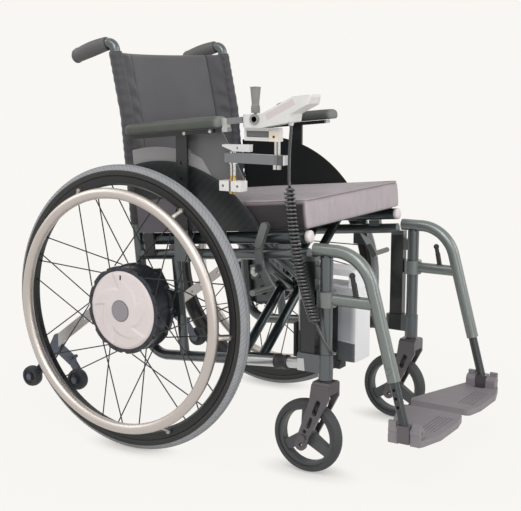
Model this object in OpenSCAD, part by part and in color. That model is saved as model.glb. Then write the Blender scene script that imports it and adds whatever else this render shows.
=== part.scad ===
// Folding wheelchair with hub-motor power assist.
// +X is forward, +Y is the occupant's left and +Z is up, in millimetres.
// The origin is on the floor, midway between the foremost and rearmost points.
// Pieces of one side are drawn on the left and mirrored for the right.

/* [Rear wheels] */
// Outside diameter of a rear tyre
wheel_d = 600; // [580:5:620]
// Width of a rear tyre
tyre_w = 28; // [24:1:32]
// Distance from the centre plane to the middle of a rear wheel
wheel_plane = 281; // [280:1:290]
// Diameter of the handrim's middle circle
handrim_d = 490; // [480:2:500]
// Thickness of the handrim's tube
handrim_tube = 22; // [18:1:22]
// Distance from the wheel's middle plane out to the handrim
handrim_out = 42; // [38:1:48]
// Clips that hold a handrim
clip_n = 6; // [4:1:8]
// Number of spokes in a rear wheel, in steps of four
spoke_n = 28; // [20:4:36]
// Diameter of a spoke
spoke_d = 2.6; // [2:0.2:3.2]

/* [Hub motor] */
// Outside diameter of the hub's scalloped flanges
hub_d = 184; // [180:2:190]
// Width of the hub shell
hub_w = 53; // [50:1:56]
// Distance from the wheel's middle plane to the hub's outer face
hub_out = 18; // [14:1:18]
// Wall of the hub shell
hub_wall = 5; // [4:0.5:6]
// Diameter of the hub cover
cover_d = 164; // [158:2:166]
// Height of the hub cover's dome
cover_h = 9; // [7:0.5:9]
// Raised petals on the hub cover
petal_n = 5; // [3:1:7]
// Diameter of the fixed axle
axle_d = 24; // [22:1:26]
// Teeth on the stator
stator_teeth = 18; // [12:3:24]

/* [Side frames] */
// Distance from the centre plane to the middle of a side frame
frame_plane = 199; // [196:1:202]
// Upward slope of the seat towards the front, in degrees
seat_tilt = 5.5; // [4:0.5:6]
// Diameter of the frame tubes
frame_tube = 22; // [20:0.5:23]
// Height of the side tube above the rear axle, square to the slope
side_up = 102.5; // [100:0.5:105]
// Depth of the lower tube below the rear axle, square to the slope
lower_down = 115; // [112:0.5:118]
// Length of the side tube ahead of the rear axle
side_front = 397; // [393:1:400]
// Distance of the back canes behind the rear axle
cane_back = 22; // [20:1:26]
// Height of the back canes' handle bend above the rear axle
cane_up = 554; // [540:2:580]
// Height of the back canes' knee above the rear axle
cane_knee = 400; // [380:5:420]
// Backward lean of the back canes above their knee, in degrees
cane_lean = 6.5; // [4:0.5:8]
// Radius of the lower tube's rear bend
rear_bend_r = 50; // [40:2:60]
// Distance of the middle upright ahead of the rear axle
mid_upright_x = 74; // [70:1:78]
// Diameter of the front post
post_d = 25; // [24:0.5:27]
// Distance of the front post ahead of the rear axle
post_x = 424; // [421:1:428]
// Height of the front post's top above the floor
post_top = 437; // [434:1:440]
// Height of the front post's foot above the floor
post_foot = 196; // [192:1:200]
// Length of a push grip
grip_len = 96; // [85:1:110]
// Diameter of a push grip
grip_d = 29; // [28:1:34]

/* [Casters] */
// Diameter of a caster wheel
caster_d = 150; // [140:2:156]
// Width of a caster tyre
caster_w = 28; // [24:1:30]
// Distance that a caster trails behind its stem
caster_trail = 38; // [32:1:42]
// Diameter of a caster stem
stem_d = 12; // [10:1:14]
// Thickness of a fork leg
fork_leg = 6; // [5:0.5:7]

/* [Legrests] */
// Diameter of the hanger tube
hanger_d = 25; // [23:0.5:26]
// Radius of the hanger's bend
hanger_bend_r = 80; // [70:2:90]
// Distance of the hanger's corner ahead of the rear axle
hanger_corner_x = 504; // [498:1:510]
// Height of the hanger tube's lower end
hanger_low = 214; // [205:1:225]
// Forward run of the leg for each millimetre of drop
leg_slope = 0.28; // [0.24:0.01:0.3]
// Diameter of the telescopic foot tube
foot_tube_d = 18; // [16:0.5:19]
// Height of the crossbar's middle
crossbar_z = 356; // [345:1:365]
// Height of a footplate's top
footplate_top = 110; // [104:1:116]
// Thickness of a footplate
footplate_t = 13; // [11:1:15]
// Distance from the centre plane to a footplate's inner edge
footplate_gap = 17; // [16:1:22]
// Distance of a footplate's front edge ahead of the rear axle
footplate_front = 646; // [640:1:656]
// Distance of a footplate's rear inner corner ahead of the rear axle
footplate_rear = 505; // [500:1:512]
// Height of a footplate's flip axis above its top
flip_up = 12; // [11:0.5:14]
// Diameter of a footplate's flip pin
flip_pin_d = 8; // [6:0.5:10]

/* [Brakes] */
// Distance of the brake pivot ahead of the rear axle
brake_x = 290; // [288:1:292]
// Height of the brake pivot
brake_z = 408; // [406:1:410]
// Diameter of the brake shoe
shoe_d = 12; // [10:0.5:13]

/* [Armrests] */
// Distance from the centre plane to the middle of an armrest
arm_plane = 228; // [227:1:232]
// Width of an armrest pad
pad_w = 50; // [44:1:54]
// Thickness of an armrest pad
pad_t = 24; // [18:1:26]
// Length of an armrest pad
pad_len = 237; // [228:1:240]
// Height of an armrest pad's top above the rear axle, square to the slope
pad_up = 380; // [370:1:395]
// Width of the flat armrest post
arm_post_w = 27; // [24:1:30]
// Thickness of the flat armrest post
arm_post_t = 6; // [5:0.5:7]
// Distance of the armrest post ahead of the rear axle
arm_post_x = 105; // [102:1:108]
// Radius of the skirt guard's top edge
skirt_r = 278; // [270:2:280]
// Thickness of the skirt guard
skirt_t = 4; // [3:0.5:5]

/* [Anti-tippers] */
// Diameter of an anti-tip roller
roller_d = 48; // [44:1:52]
// Width of an anti-tip roller
roller_w = 20; // [16:1:22]
// Distance of the rear roller behind the rear axle
roller_back = 334; // [326:1:342]
// Height of the rear roller's axle
roller_z = 90; // [80:1:100]

/* [Seat] */
// Height of the seat tubes above the rear axle, square to the slope
seat_up = 135; // [134:0.5:138]
// Diameter of the seat tubes
seat_tube = 25; // [23:0.5:26]
// Distance from the centre plane to a seat tube
seat_plane = 196; // [193:1:196]
// Length of the seat tubes ahead of the rear axle
seat_front = 402; // [396:1:406]
// Thickness of the seat sling
sling_t = 2.4; // [1.5:0.1:3]
// Thickness of the cushion's sides
cushion_t = 60; // [50:1:62]
// Crown of the cushion above its sides
cushion_crown = 5; // [2:0.5:8]
// Half width of the cushion
cushion_half = 206; // [196:1:207]
// Length of the cushion
cushion_len = 402; // [380:1:404]
// Bottom of the back upholstery above the rear axle, square to the slope
back_low = 168; // [160:1:200]

/* [Cross brace] */
// Diameter of the cross brace tubes
brace_tube = 20; // [18:0.5:20]
// Distance from the centre plane to a lower brace pivot
brace_plane = 177; // [174:0.5:177]
// Distance of the first brace tube ahead of the rear axle
brace_x = 205; // [200:1:212]
// Spacing between neighbouring brace tubes
brace_step = 24; // [22:0.5:26]
// Diameter of the brace's centre bolt
brace_bolt_d = 10; // [8:0.5:12]

/* [Control unit] */
// Width of the control housing
control_w = 46; // [40:1:52]
// Distance of the swing bracket's pivot ahead of the rear axle
swing_x = 228; // [224:1:230]
// Height of the swing bar's middle
swing_bar_z = 620; // [612:1:626]
// Diameter of the swing bracket's rods
swing_rod_d = 12; // [10:0.5:14]
// Diameter of the charging socket
socket_d = 11; // [9:0.5:12]
// Distance of the joystick ahead of the rear axle
stick_x = 281; // [279:1:283]
// Diameter of the joystick's top
stick_d = 22; // [18:0.5:24]

/* [Battery] */
// Width of the battery pack
battery_w = 68; // [60:1:72]
// Length of the battery pack
battery_len = 135; // [120:1:140]
// Height of the battery pack without its handle
battery_h = 150; // [140:1:158]
// Distance from the centre plane to the battery's outer side
battery_plane = 130; // [126:1:134]
// Distance of the battery's front face ahead of the rear axle
battery_front = 453; // [448:1:456]
// Height of the battery's underside
battery_z = 216; // [212:1:222]

/* [Cord] */
// Diameter of the control cord
cord_d = 5.6; // [4:0.2:5.8]
// Radius of the cord's curls at the middle of the cord
curl_r = 8; // [7:0.5:9]
// Number of curls
curl_n = 38; // [30:1:38]

/* [Fits] */
// Radial clearance of a running fit
run_gap = 0.06; // [0.03:0.01:0.1]
// Gap between pieces that seat on one another
seat_gap = 0.3; // [0.2:0.05:0.4]

/* [Hidden] */
$fn = 48;
LEFT = 1;
RIGHT = -1;

// Places worked out from the driving sizes
axle_h = wheel_d / 2;
wheel_r = wheel_d / 2;
axle_x = -(footplate_front - roller_back - roller_d / 2) / 2;
tilt_c = cos(seat_tilt);
tilt_t = tan(seat_tilt);
frame_r = frame_tube / 2;
frame_out = frame_plane + frame_r;
bore_slack = 2 * run_gap;
weld_half = 1;
weld_rise = 0.3;
// Width of a strap between its round ends, as a share of their diameter
strap_share = 0.98;

// Rear wheel sections
tyre_mid_r = wheel_r - tyre_w / 2;
rim_out_r = wheel_r - 0.83 * tyre_w;
rim_h = 19;
rim_in_r = rim_out_r - rim_h;
rim_w = tyre_w - 3;
hub_in = hub_out - hub_w;
flange_t = 5;
flange_lip = 5;
scallop_n = 12;
scallop_d = 16;
lip_t = 4;
lip_w = 6;
// Thickness of the hub cover's edge
cover_edge = 3;
// Turn of the handrim's clips, in degrees
clip_turn = 5;

// Front frame
upright_w = 30;
upright_t = 18;
hinge_ring_d = post_d + 14;
upright_x = post_x - hinge_ring_d / 2 - 1 - upright_w / 2;
plate_t = 8;
plate_out = frame_out + plate_t;
spigot_d = frame_tube - 4;
spigot_len = 50;
upright_top = side_up + frame_r + 8;

// Caster
caster_axle_d = 8;
fork_top = post_foot - 4;
fork_head_h = 24;
fork_leg_in = caster_w / 2 + 3;
fork_half = fork_leg_in + fork_leg;

// Legrest
hanger_z = post_top + seat_gap + hanger_d / 2;
hanger_rear = post_x - 27;
leg_dir = [leg_slope, 0, -1] / norm([leg_slope, 0, -1]);
leg_end_x = hanger_corner_x + leg_slope * (hanger_z - hanger_low);
flip_z = footplate_top + flip_up;
flip_plane = frame_plane - 3;
foot_x = hanger_corner_x + leg_slope * (hanger_z - flip_z);
clamp_len = 24;
lug_len = 20;
lug_gap = 0.4;
hanger_pin_d = 14;
lever_x = post_x + 66;
lever_slot = 9;
lever_pin_d = 4;

// Brake
brake_pin_d = 8;
brake_in = plate_out + 3;
brake_t = 7;
shoe_x = brake_x + 25;
shoe_z = brake_z - 37;

// Armrest
skirt_in = frame_out + seat_gap;
skirt_out = skirt_in + skirt_t;
// Middle of the guard's top edge, and how far the panel behind it stands back and up
skirt_mid = [52, 22];
panel_shift = [-10, 29];
panel_t = 1.5;
panel_front = 200;
guard_low = seat_up + seat_tube / 2 + 3;
guard_tabs = [5, 190];
guard_tab_w = 25;
pad_rear = 5;
pad_front = pad_rear + pad_len;
dock_end = 291;
arm_post_in = arm_plane - arm_post_t / 2;
socket_wall = 4;
socket_foot = 415;
socket_top = 468;

// Anti-tipper
tip_pivot = [-40, 343];
tip_joint = [-258, 184];
tip_front = [-194, 104];
tip_bar_in = plate_out + seat_gap;
tip_bar_t = 5;
tip_leg_in = tip_bar_in - 5;
tip_leg_t = 6;
roller_gap = 0.6;
roller_pin_d = 8;
roller_in = tip_leg_in + tip_leg_t + roller_gap;

// Seat
sling_z = seat_up + seat_tube / 2 + seat_gap;
cushion_z = sling_z + sling_t + seat_gap;
saddle_x = [60, 330];
saddle_len = 26;
cap_len = 8;
sleeve_d = frame_tube + 7;
back_top = cane_up - 21;
// Sag of the upholstery behind the canes, its radius and thickness
back_sag = 31;
back_sag_r = 660;
back_t = 9;
// Overlap of the upholstery's two flats at the knee
knee_lap = 2.5;
// Reach of the band over that line, below and above it, and its thickness
knee_band = [-9, 5];
knee_band_t = 1;
// Length by which the sleeves stand past the panel at each end
back_hem = 2;

// Cross brace, seen along the slope as [distance from the centre plane, height above the axle]
brace_low = [-brace_plane, -lower_down];
brace_top = [seat_plane, seat_up];
brace_mid_z = brace_low[1] + (brace_top[1] - brace_low[1]) * brace_plane / (brace_plane + seat_plane);
brace_pin_d = 10;
brace_sleeve_d = 20;
brace_sleeve_x = brace_x - 15;
brace_sleeve_len = 3 * brace_step + 30;
lug_t = 6;

// Control unit
control_y = arm_plane;
swing_bar_h = 18;
swing_bar_w = 20;
swing_bar_front = 350;
swing_tail = 13;
carrier_x = 330;
clamp_len_x = 50;
clamp_h = 20;
clamp_z = 565;
stick_z = 714;
stick_h = 43;
body_z = stick_z - 33;
bracket_h = 26;
bracket_z = body_z - bracket_h;
lever_pin_up = 16;
lever_pivot_d = 4;

// Control cord, chosen by hand in chair places: distance ahead of the rear axle, from the centre plane, height
lead_top = [[360, -228, 685.7], [360, -228, 677], [357, -228, 640], [356, -228, 590]];
curl_start = [357, -228, 572];
curl_sag = [368, -229, 420];
curl_end = [418, -229, 312];
lead_route = [[426, -228, 296], [436, -226, 276], [444, -216, 258], [444, -200, 250], [436, -180, 247],
    [424, -164, 246], [410, -154, 246], [404, -146, 246], [404, -138.3, 246]];

// Helpers

// Unit vector along v
function unit(v) = v / norm(v);
// Height above the floor of a line parallel to the slope, at x ahead of the axle
function slope_z(x, up) = axle_h + up / tilt_c + x * tilt_t;

module hand(side) {
    if (side == LEFT) children();
    else mirror([0, 1, 0]) children();
}
module on_frame() translate([axle_x, 0, axle_h]) rotate([0, -seat_tilt, 0]) children();
module on_floor() translate([axle_x, 0, 0]) children();
module on_wheel() on_floor() translate([0, wheel_plane, axle_h]) rotate([-90, 0, 0]) children();

// Turns +Z to point along dir and moves to p
module along(p, dir) {
    d = unit(dir);
    translate(p) rotate([0, acos(d[2]), atan2(d[1], d[0])]) children();
}
module rod(a, b, d) along(a, b - a) cylinder(d = d, h = norm(b - a));
// Round bar along Y from y0 to y1
module bar_y(x, z, y0, y1, d) translate([x, y0, z]) rotate([-90, 0, 0]) cylinder(d = d, h = y1 - y0);
// Round bar along X from x0 to x1
module bar_x(y, z, x0, x1, d) translate([x0, y, z]) rotate([0, 90, 0]) cylinder(d = d, h = x1 - x0);
// A drawing of x and z made a plate from y0 to y1
module plate(y0, y1) translate([0, y1, 0]) rotate([90, 0, 0]) linear_extrude(y1 - y0) children();
// A flat bar with round ends, drawn from a to b
module strap(a, b, w) {
    d = b - a;
    translate(a) circle(d = w);
    translate(b) circle(d = w);
    translate(a) rotate(atan2(d[1], d[0])) translate([0, -w * strap_share / 2]) square([norm(d), w * strap_share]);
}
// A tube's bend at corner p, turning from direction u to v
module tube_bend(p, u, v, r, d) {
    turn = acos(u * v);
    n = unit(v - u * (u * v));
    c = p - u * r * tan(turn / 2) + n * r;
    w = cross(u, n);
    multmatrix([
        [-n[0], u[0], w[0], c[0]],
        [-n[1], u[1], w[1], c[1]],
        [-n[2], u[2], w[2], c[2]]
    ]) rotate_extrude(angle = turn) translate([r, 0]) circle(d = d);
}
// Radius of corner i, from one radius for all or a list
function bend_at(r, i) = is_list(r) ? r[i] : r;
// A tube through points, with its corners bent to radius r
module tube_run(points, r, d) {
    last = len(points) - 1;
    dirs = [for (i = [0 : last - 1]) unit(points[i + 1] - points[i])];
    cut = [for (i = [0 : last]) i == 0 || i == last ? 0
        : bend_at(r, i) * tan(acos(dirs[i - 1] * dirs[i]) / 2)];
    for (i = [0 : last - 1])
        rod(points[i] + dirs[i] * cut[i], points[i + 1] - dirs[i] * cut[i + 1], d);
    for (i = [1 : 1 : last - 1]) {
        tube_bend(points[i], dirs[i - 1], dirs[i], bend_at(r, i), d);
        // Weld rings where the bend meets the straight tube
        along(points[i] - dirs[i - 1] * (cut[i] + weld_half), dirs[i - 1]) cylinder(d = d + weld_rise, h = 2 * weld_half);
        along(points[i] + dirs[i] * (cut[i] - weld_half), dirs[i]) cylinder(d = d + weld_rise, h = 2 * weld_half);
    }
}
// A box with rounded upright edges
module round_box(size, r) linear_extrude(size[2]) offset(r) offset(-r) square([size[0], size[1]]);

// Side frame

module frame_tubes() {
    on_frame() translate([0, frame_plane, 0]) {
        rod([-cane_back, 0, side_up], [side_front, 0, side_up], frame_tube);
        tube_run([[side_front - 22, 0, -lower_down], [-cane_back, 0, -lower_down],
            [-cane_back, 0, upright_top]], rear_bend_r, frame_tube);
        rod([mid_upright_x, 0, -lower_down], [mid_upright_x, 0, side_up], frame_tube - 2);
    }
}
module front_upright() {
    low = slope_z(upright_x, -lower_down);
    high = min(slope_z(upright_x, side_up), post_top - 1);
    on_floor() {
        translate([upright_x - upright_w / 2, frame_plane - upright_t / 2, low])
            cube([upright_w, upright_t, high - low]);
        // Clamp blocks that carry the post
        translate([upright_x - upright_w / 2 - 6, frame_plane - 13, low - 13])
            cube([post_x - upright_x + upright_w / 2 + 6, 26, 36]);
        translate([upright_x, frame_plane - upright_t / 2, high - 42]) cube([post_x - upright_x, upright_t, 24]);
    }
}
module front_post() {
    on_floor() translate([post_x, frame_plane, 0]) {
        translate([0, 0, post_foot]) cylinder(d = post_d, h = post_top - post_foot);
        translate([0, 0, post_foot]) cylinder(d = post_d + 4, h = 50);
    }
}
module frame_bores() {
    on_frame() translate([-cane_back, frame_plane, upright_top - spigot_len])
        cylinder(d = spigot_d + bore_slack, h = spigot_len + 1);
    on_floor() translate([post_x, frame_plane, 0]) {
        translate([0, 0, post_foot - 1]) cylinder(d = stem_d + bore_slack, h = 62);
        translate([0, 0, post_top - 30]) cylinder(d = hanger_pin_d + bore_slack, h = 31);
    }
}
// Plate that carries the axle, with two spare axle holes above and below
module axle_plate() {
    on_frame() difference() {
        union() {
            plate(frame_plane + frame_r - 3, plate_out) difference() {
                polygon([[-cane_back - 12, -60], [-cane_back, -74], [36, -74], [56, -32], [mid_upright_x + 12, -24],
                    [mid_upright_x + 12, 24], [56, 32], [36, 74], [-cane_back, 74], [-cane_back - 12, 60]]);
                for (z = [-46, 46]) translate([20, z]) circle(d = 24);
            }
            bar_y(0, 0, frame_plane, plate_out, axle_d + 14);
        }
        bar_y(0, 0, frame_plane - 1, plate_out + 1, axle_d + bore_slack);
    }
}
module seat_saddles() {
    base = side_up;
    on_frame() for (x = saddle_x)
        translate([x, seat_plane - 6, base]) cube([saddle_len, 13, seat_up - seat_tube / 2 - seat_gap - base]);
}
module brace_lugs() {
    on_frame() for (x = [brace_sleeve_x - lug_t - seat_gap, brace_sleeve_x + brace_sleeve_len + seat_gap]) {
        translate([x, brace_plane, -lower_down]) rotate([0, 90, 0]) cylinder(d = 22, h = lug_t);
        translate([x, brace_plane, -lower_down - 11]) cube([lug_t, frame_plane - brace_plane, 22]);
    }
    on_frame() bar_x(brace_plane, -lower_down, brace_sleeve_x - lug_t, brace_sleeve_x + brace_sleeve_len + lug_t,
        brace_pin_d);
}
module brake_mount() {
    top = slope_z(brake_x, side_up) - 2;
    on_floor() {
        difference() {
            translate([brake_x - 16, frame_plane, brake_z - 13])
                cube([34, brake_in - seat_gap - frame_plane, top - brake_z + 13]);
            translate([brake_x + 18, frame_plane - 1, brake_z - 13]) rotate([0, -35, 0]) cube([40, 40, 40]);
        }
        bar_y(brake_x, brake_z, brake_in - 1, brake_in + brake_t + 2, brake_pin_d);
        bar_y(brake_x, brake_z, brake_in + brake_t + seat_gap, brake_in + brake_t + 4, brake_pin_d + 6);
    }
}
module arm_socket() {
    outer_w = arm_post_w + 2 * socket_wall;
    outer_t = arm_post_t + 2 * socket_wall;
    mid_z = slope_z(arm_post_x, side_up) - frame_r;
    on_floor() difference() {
        union() {
            translate([arm_post_x - outer_w / 2, arm_plane - outer_t / 2, socket_foot - 12])
                cube([outer_w, outer_t, socket_top - socket_foot + 12]);
            translate([arm_post_x - outer_w / 2, frame_plane, socket_foot - 12])
                cube([outer_w, arm_plane - frame_plane, mid_z + frame_r - 2 - socket_foot + 12]);
        }
        translate([arm_post_x - arm_post_w / 2 - seat_gap, arm_post_in - seat_gap, socket_foot])
            cube([arm_post_w + 2 * seat_gap, arm_post_t + 2 * seat_gap, socket_top]);
    }
}
module tip_bolt() on_floor() {
    bar_y(tip_pivot[0], tip_pivot[1], plate_out - 1, tip_bar_in + tip_bar_t + 2, 8);
    bar_y(tip_pivot[0], tip_pivot[1], tip_bar_in + tip_bar_t + seat_gap, tip_bar_in + tip_bar_t + 4, 13);
}
module side_frame(side) color("#4a5154") hand(side) {
    difference() {
        union() {
            frame_tubes();
            front_upright();
            front_post();
            axle_plate();
            seat_saddles();
            brace_lugs();
            brake_mount();
            arm_socket();
            tip_bolt();
        }
        frame_bores();
    }
}

// Back cane and grip

grip_slope = 7;
cane_bend_r = 16;
knee_r = 60;
grip_dir = [-cos(grip_slope), 0, -sin(grip_slope)];
cane_corner = [-cane_back - (cane_up - cane_knee) * tan(cane_lean), frame_plane, cane_up];
cane_end = cane_corner + grip_dir * (grip_len + 8);
module back_cane(side) color("#3c4144") hand(side) on_frame() {
    tube_run([[-cane_back, frame_plane, upright_top], [-cane_back, frame_plane, cane_knee], cane_corner, cane_end],
        [0, knee_r, cane_bend_r, 0], frame_tube);
    rod([-cane_back, frame_plane, upright_top - spigot_len + 2], [-cane_back, frame_plane, upright_top + 1], spigot_d);
}
// Grip with a swollen middle and a rounded end
module push_grip(side) color("#3b3b3b") hand(side) on_frame()
    along(cane_end + grip_dir * 9, -grip_dir) difference() {
        rotate_extrude() union() {
            translate([0, 6]) square([grip_d / 2 - 2.5, grip_len - 26]);
            intersection() {
                square([grip_d / 2, grip_len]);
                translate([grip_d / 2 - 140, grip_len * 0.45]) circle(r = 140, $fn = 160);
                translate([0, 0]) union() {
                    translate([0, 8]) square([grip_d, grip_len]);
                    translate([grip_d / 2 - 9, 9]) circle(r = 9);
                    square([grip_d / 2 - 9, 9]);
                }
            }
        }
        translate([0, 0, 9]) cylinder(d = frame_tube + 2 * seat_gap, h = grip_len);
    }

// Rear wheel

module tyre(side) color("#3a3a3a") hand(side) on_wheel()
    rotate_extrude($fn = 96) translate([tyre_mid_r, 0]) circle(d = tyre_w);
module rim(side) color("#1d1d1f") hand(side) on_wheel() {
    rotate_extrude($fn = 96) difference() {
        union() {
            translate([rim_in_r + 5, -rim_w / 2]) square([rim_h - 5, rim_w]);
            polygon([[rim_in_r, -6], [rim_in_r, 6], [rim_in_r + 6, rim_w / 2], [rim_in_r + 6, -rim_w / 2]]);
        }
        translate([tyre_mid_r, 0]) circle(d = tyre_w + 2 * seat_gap);
    }
    pairs = spoke_n / 2;
    hub_r = (hub_d + spoke_d) / 2 + seat_gap;
    lean = 34;
    for (i = [0 : pairs - 1], row = [0, 1]) {
        a = 360 / pairs * (i + row / 2);
        swing = (i % 2 == 0 ? 1 : -1) * lean;
        z = row == 0 ? hub_out - flange_t / 2 : hub_in + flange_t / 2;
        start = [hub_r * cos(a), hub_r * sin(a), z];
        end = [(rim_in_r + 3) * cos(a + swing), (rim_in_r + 3) * sin(a + swing), 0];
        rod(start, end, spoke_d);
    }
}
module handrim(side) color("#b9aea4") hand(side) on_wheel() {
    clip_r = rim_in_r + 8;
    rotate_extrude($fn = 96) translate([handrim_d / 2, handrim_out]) circle(d = handrim_tube);
    for (i = [0 : clip_n - 1]) rotate(360 / clip_n * i + clip_turn)
        translate([clip_r, 0, rim_w / 2]) rotate([0, atan2(handrim_d / 2 - clip_r, handrim_out - rim_w / 2), 0])
            translate([0, 0, 4]) cylinder(d = 9, h = norm([handrim_d / 2 - clip_r, handrim_out - rim_w / 2]) - 5);
    for (i = [0 : clip_n - 1]) rotate(360 / clip_n * i + clip_turn)
        translate([clip_r, 0, rim_w / 2]) cylinder(d = 10, h = 6);
}
// Round plate with scallops round its edge
module scalloped(r, h) difference() {
    cylinder(r = r, h = h, $fn = 96);
    for (i = [0 : scallop_n - 1]) rotate(360 / scallop_n * i)
        translate([r + scallop_d * 0.28, 0, -1]) cylinder(d = scallop_d, h = h + 2);
}
module hub_shell(side) color("#242526") hand(side) on_wheel() {
    shell_r = hub_d / 2 - flange_lip;
    difference() {
        union() {
            translate([0, 0, hub_in]) cylinder(r = shell_r, h = hub_w, $fn = 96);
            translate([0, 0, hub_in]) scalloped(hub_d / 2, flange_t + 4);
            translate([0, 0, hub_out - flange_t - 4]) scalloped(hub_d / 2, flange_t + 4);
        }
        translate([0, 0, hub_in + hub_wall]) cylinder(r = shell_r - hub_wall, h = hub_w - hub_wall - lip_t, $fn = 96);
        translate([0, 0, hub_out - 2 * lip_t]) cylinder(d = cover_d - 2 * lip_w, h = 3 * lip_t, $fn = 96);
        translate([0, 0, hub_in - 1]) cylinder(d = axle_d + bore_slack, h = hub_wall + 2);
    }
    // Rotor magnets behind the wall
    magnet_r = shell_r - hub_wall - seat_gap;
    translate([0, 0, hub_in + hub_wall + seat_gap]) difference() {
        cylinder(r = magnet_r, h = hub_w - hub_wall - 12, $fn = 96);
        translate([0, 0, -1]) cylinder(r = magnet_r - 5, h = hub_w, $fn = 96);
    }
}
module hub_cover(side) color("#e6ddd9") hand(side) on_wheel() translate([0, 0, hub_out + seat_gap]) {
    rim_r = cover_d / 2;
    dome_h = cover_h - cover_edge;
    dome_r = (rim_r * rim_r + dome_h * dome_h) / (2 * dome_h);
    difference() {
        rotate_extrude($fn = 96) intersection() {
            square([rim_r, cover_h + 2]);
            translate([0, cover_h - dome_r]) circle(r = dome_r, $fn = 720);
        }
        // Curved grooves that part the petals, laid along the dome's slope
        for (i = [0 : petal_n - 1]) rotate(360 / petal_n * i) translate([0, 0, cover_h - 1])
            rotate([0, atan2(dome_h, rim_r), 0]) linear_extrude(8) intersection() {
                translate([rim_r * 0.55, -38]) difference() {
                    circle(r = 43.5);
                    circle(r = 40.5);
                }
                translate([rim_r * 0.32, -15]) square([rim_r * 0.54, 30]);
            }
        translate([0, 0, cover_h - 1.2]) difference() {
            cylinder(d = 47, h = 4);
            translate([0, 0, -1]) cylinder(d = 44, h = 6);
        }
    }
}
module motor_stator(side) color("#8b5a32") hand(side) on_wheel() {
    bore_r = hub_d / 2 - flange_lip - hub_wall - seat_gap - 5;
    tooth_r = bore_r - 0.7;
    stack_z = hub_in + hub_wall + 4;
    stack_h = hub_w - hub_wall - 14;
    translate([0, 0, stack_z]) linear_extrude(stack_h) difference() {
        circle(r = tooth_r, $fn = 96);
        for (i = [0 : stator_teeth - 1]) rotate(360 / stator_teeth * i)
            translate([tooth_r * 0.62, -tooth_r * 0.055]) square([tooth_r * 0.34, tooth_r * 0.11]);
        circle(d = axle_d - 1);
    }
    translate([0, 0, frame_plane + 2 - wheel_plane]) cylinder(d = axle_d, h = wheel_plane - frame_plane - 6 + hub_out);
    // Quick-release button at the inner end
    translate([0, 0, frame_plane - 4 - wheel_plane]) cylinder(d = axle_d / 2, h = 8);
}

// Casters

// Fork leg seen from the side, from the stem
module fork_leg_shape() {
    axle_z = caster_d / 2;
    difference() {
        union() {
            polygon([[-19, fork_top - 4], [19, fork_top - 4], [19, fork_top - fork_head_h - 8],
                [-caster_trail + 13, axle_z], [-caster_trail - 13, axle_z], [-24, fork_top - fork_head_h - 16]]);
            strap([-caster_trail, axle_z], [-caster_trail - 5, axle_z - 14], 26);
        }
        strap([-4, fork_top - 40], [-12, fork_top - 62], 11);
        strap([-20, fork_top - 76], [-26, axle_z + 26], 9);
        translate([-caster_trail - 5, axle_z - 14]) circle(d = 8);
        translate([-caster_trail + 4, axle_z + 14]) circle(d = 8);
    }
}
module caster_fork(side) color("#45484a") hand(side) on_floor() translate([post_x, frame_plane, 0]) {
    axle_z = caster_d / 2;
    for (y = [-fork_half, fork_leg_in]) plate(y, y + fork_leg) fork_leg_shape();
    translate([-19, 0, fork_top - fork_head_h]) rotate([90, 0, 90]) linear_extrude(38)
        polygon([[-fork_half, 0], [fork_half, 0], [fork_half, fork_head_h - 6], [fork_half - 6, fork_head_h],
            [6 - fork_half, fork_head_h], [-fork_half, fork_head_h - 6]]);
    translate([0, 0, fork_top - 4]) cylinder(d = post_d - 3, h = 6);
    translate([0, 0, fork_top]) cylinder(d = stem_d, h = 60);
    bar_y(-caster_trail, axle_z, -fork_half - 3, fork_half + 3, caster_axle_d);
    for (y = [-fork_half - 4, fork_half]) bar_y(-caster_trail, axle_z, y, y + 4, 14);
}
module caster_wheel(side) color("#3f4143") hand(side)
    on_floor() translate([post_x - caster_trail, frame_plane, caster_d / 2]) rotate([-90, 0, 0]) {
        tyre_in = caster_d / 2 - 14;
        rim_in = tyre_in - 7;
        rim_half = caster_w / 2 - 4;
        rotate_extrude($fn = 72) union() {
            translate([tyre_in + seat_gap, -caster_w / 2 + 3]) square([14 - seat_gap - 6, caster_w - 6]);
            intersection() {
                translate([caster_d / 2 - 18, 0]) circle(r = 18);
                translate([tyre_in + seat_gap, -caster_w / 2]) square([20, caster_w]);
            }
        }
        difference() {
            union() {
                rotate_extrude($fn = 72) translate([rim_in, -rim_half]) square([tyre_in - rim_in, 2 * rim_half]);
                translate([0, 0, -rim_half - 2]) cylinder(r = 15, h = 2 * rim_half + 4);
                for (i = [0 : 2]) rotate(120 * i + 30) translate([0, 0, -7]) linear_extrude(14)
                    polygon([[8, -13], [rim_in + 2, -10], [rim_in + 2, 10], [8, 13]]);
            }
            translate([0, 0, -caster_w]) cylinder(d = caster_axle_d + bore_slack, h = 2 * caster_w);
        }
    }

// Legrests

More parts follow.
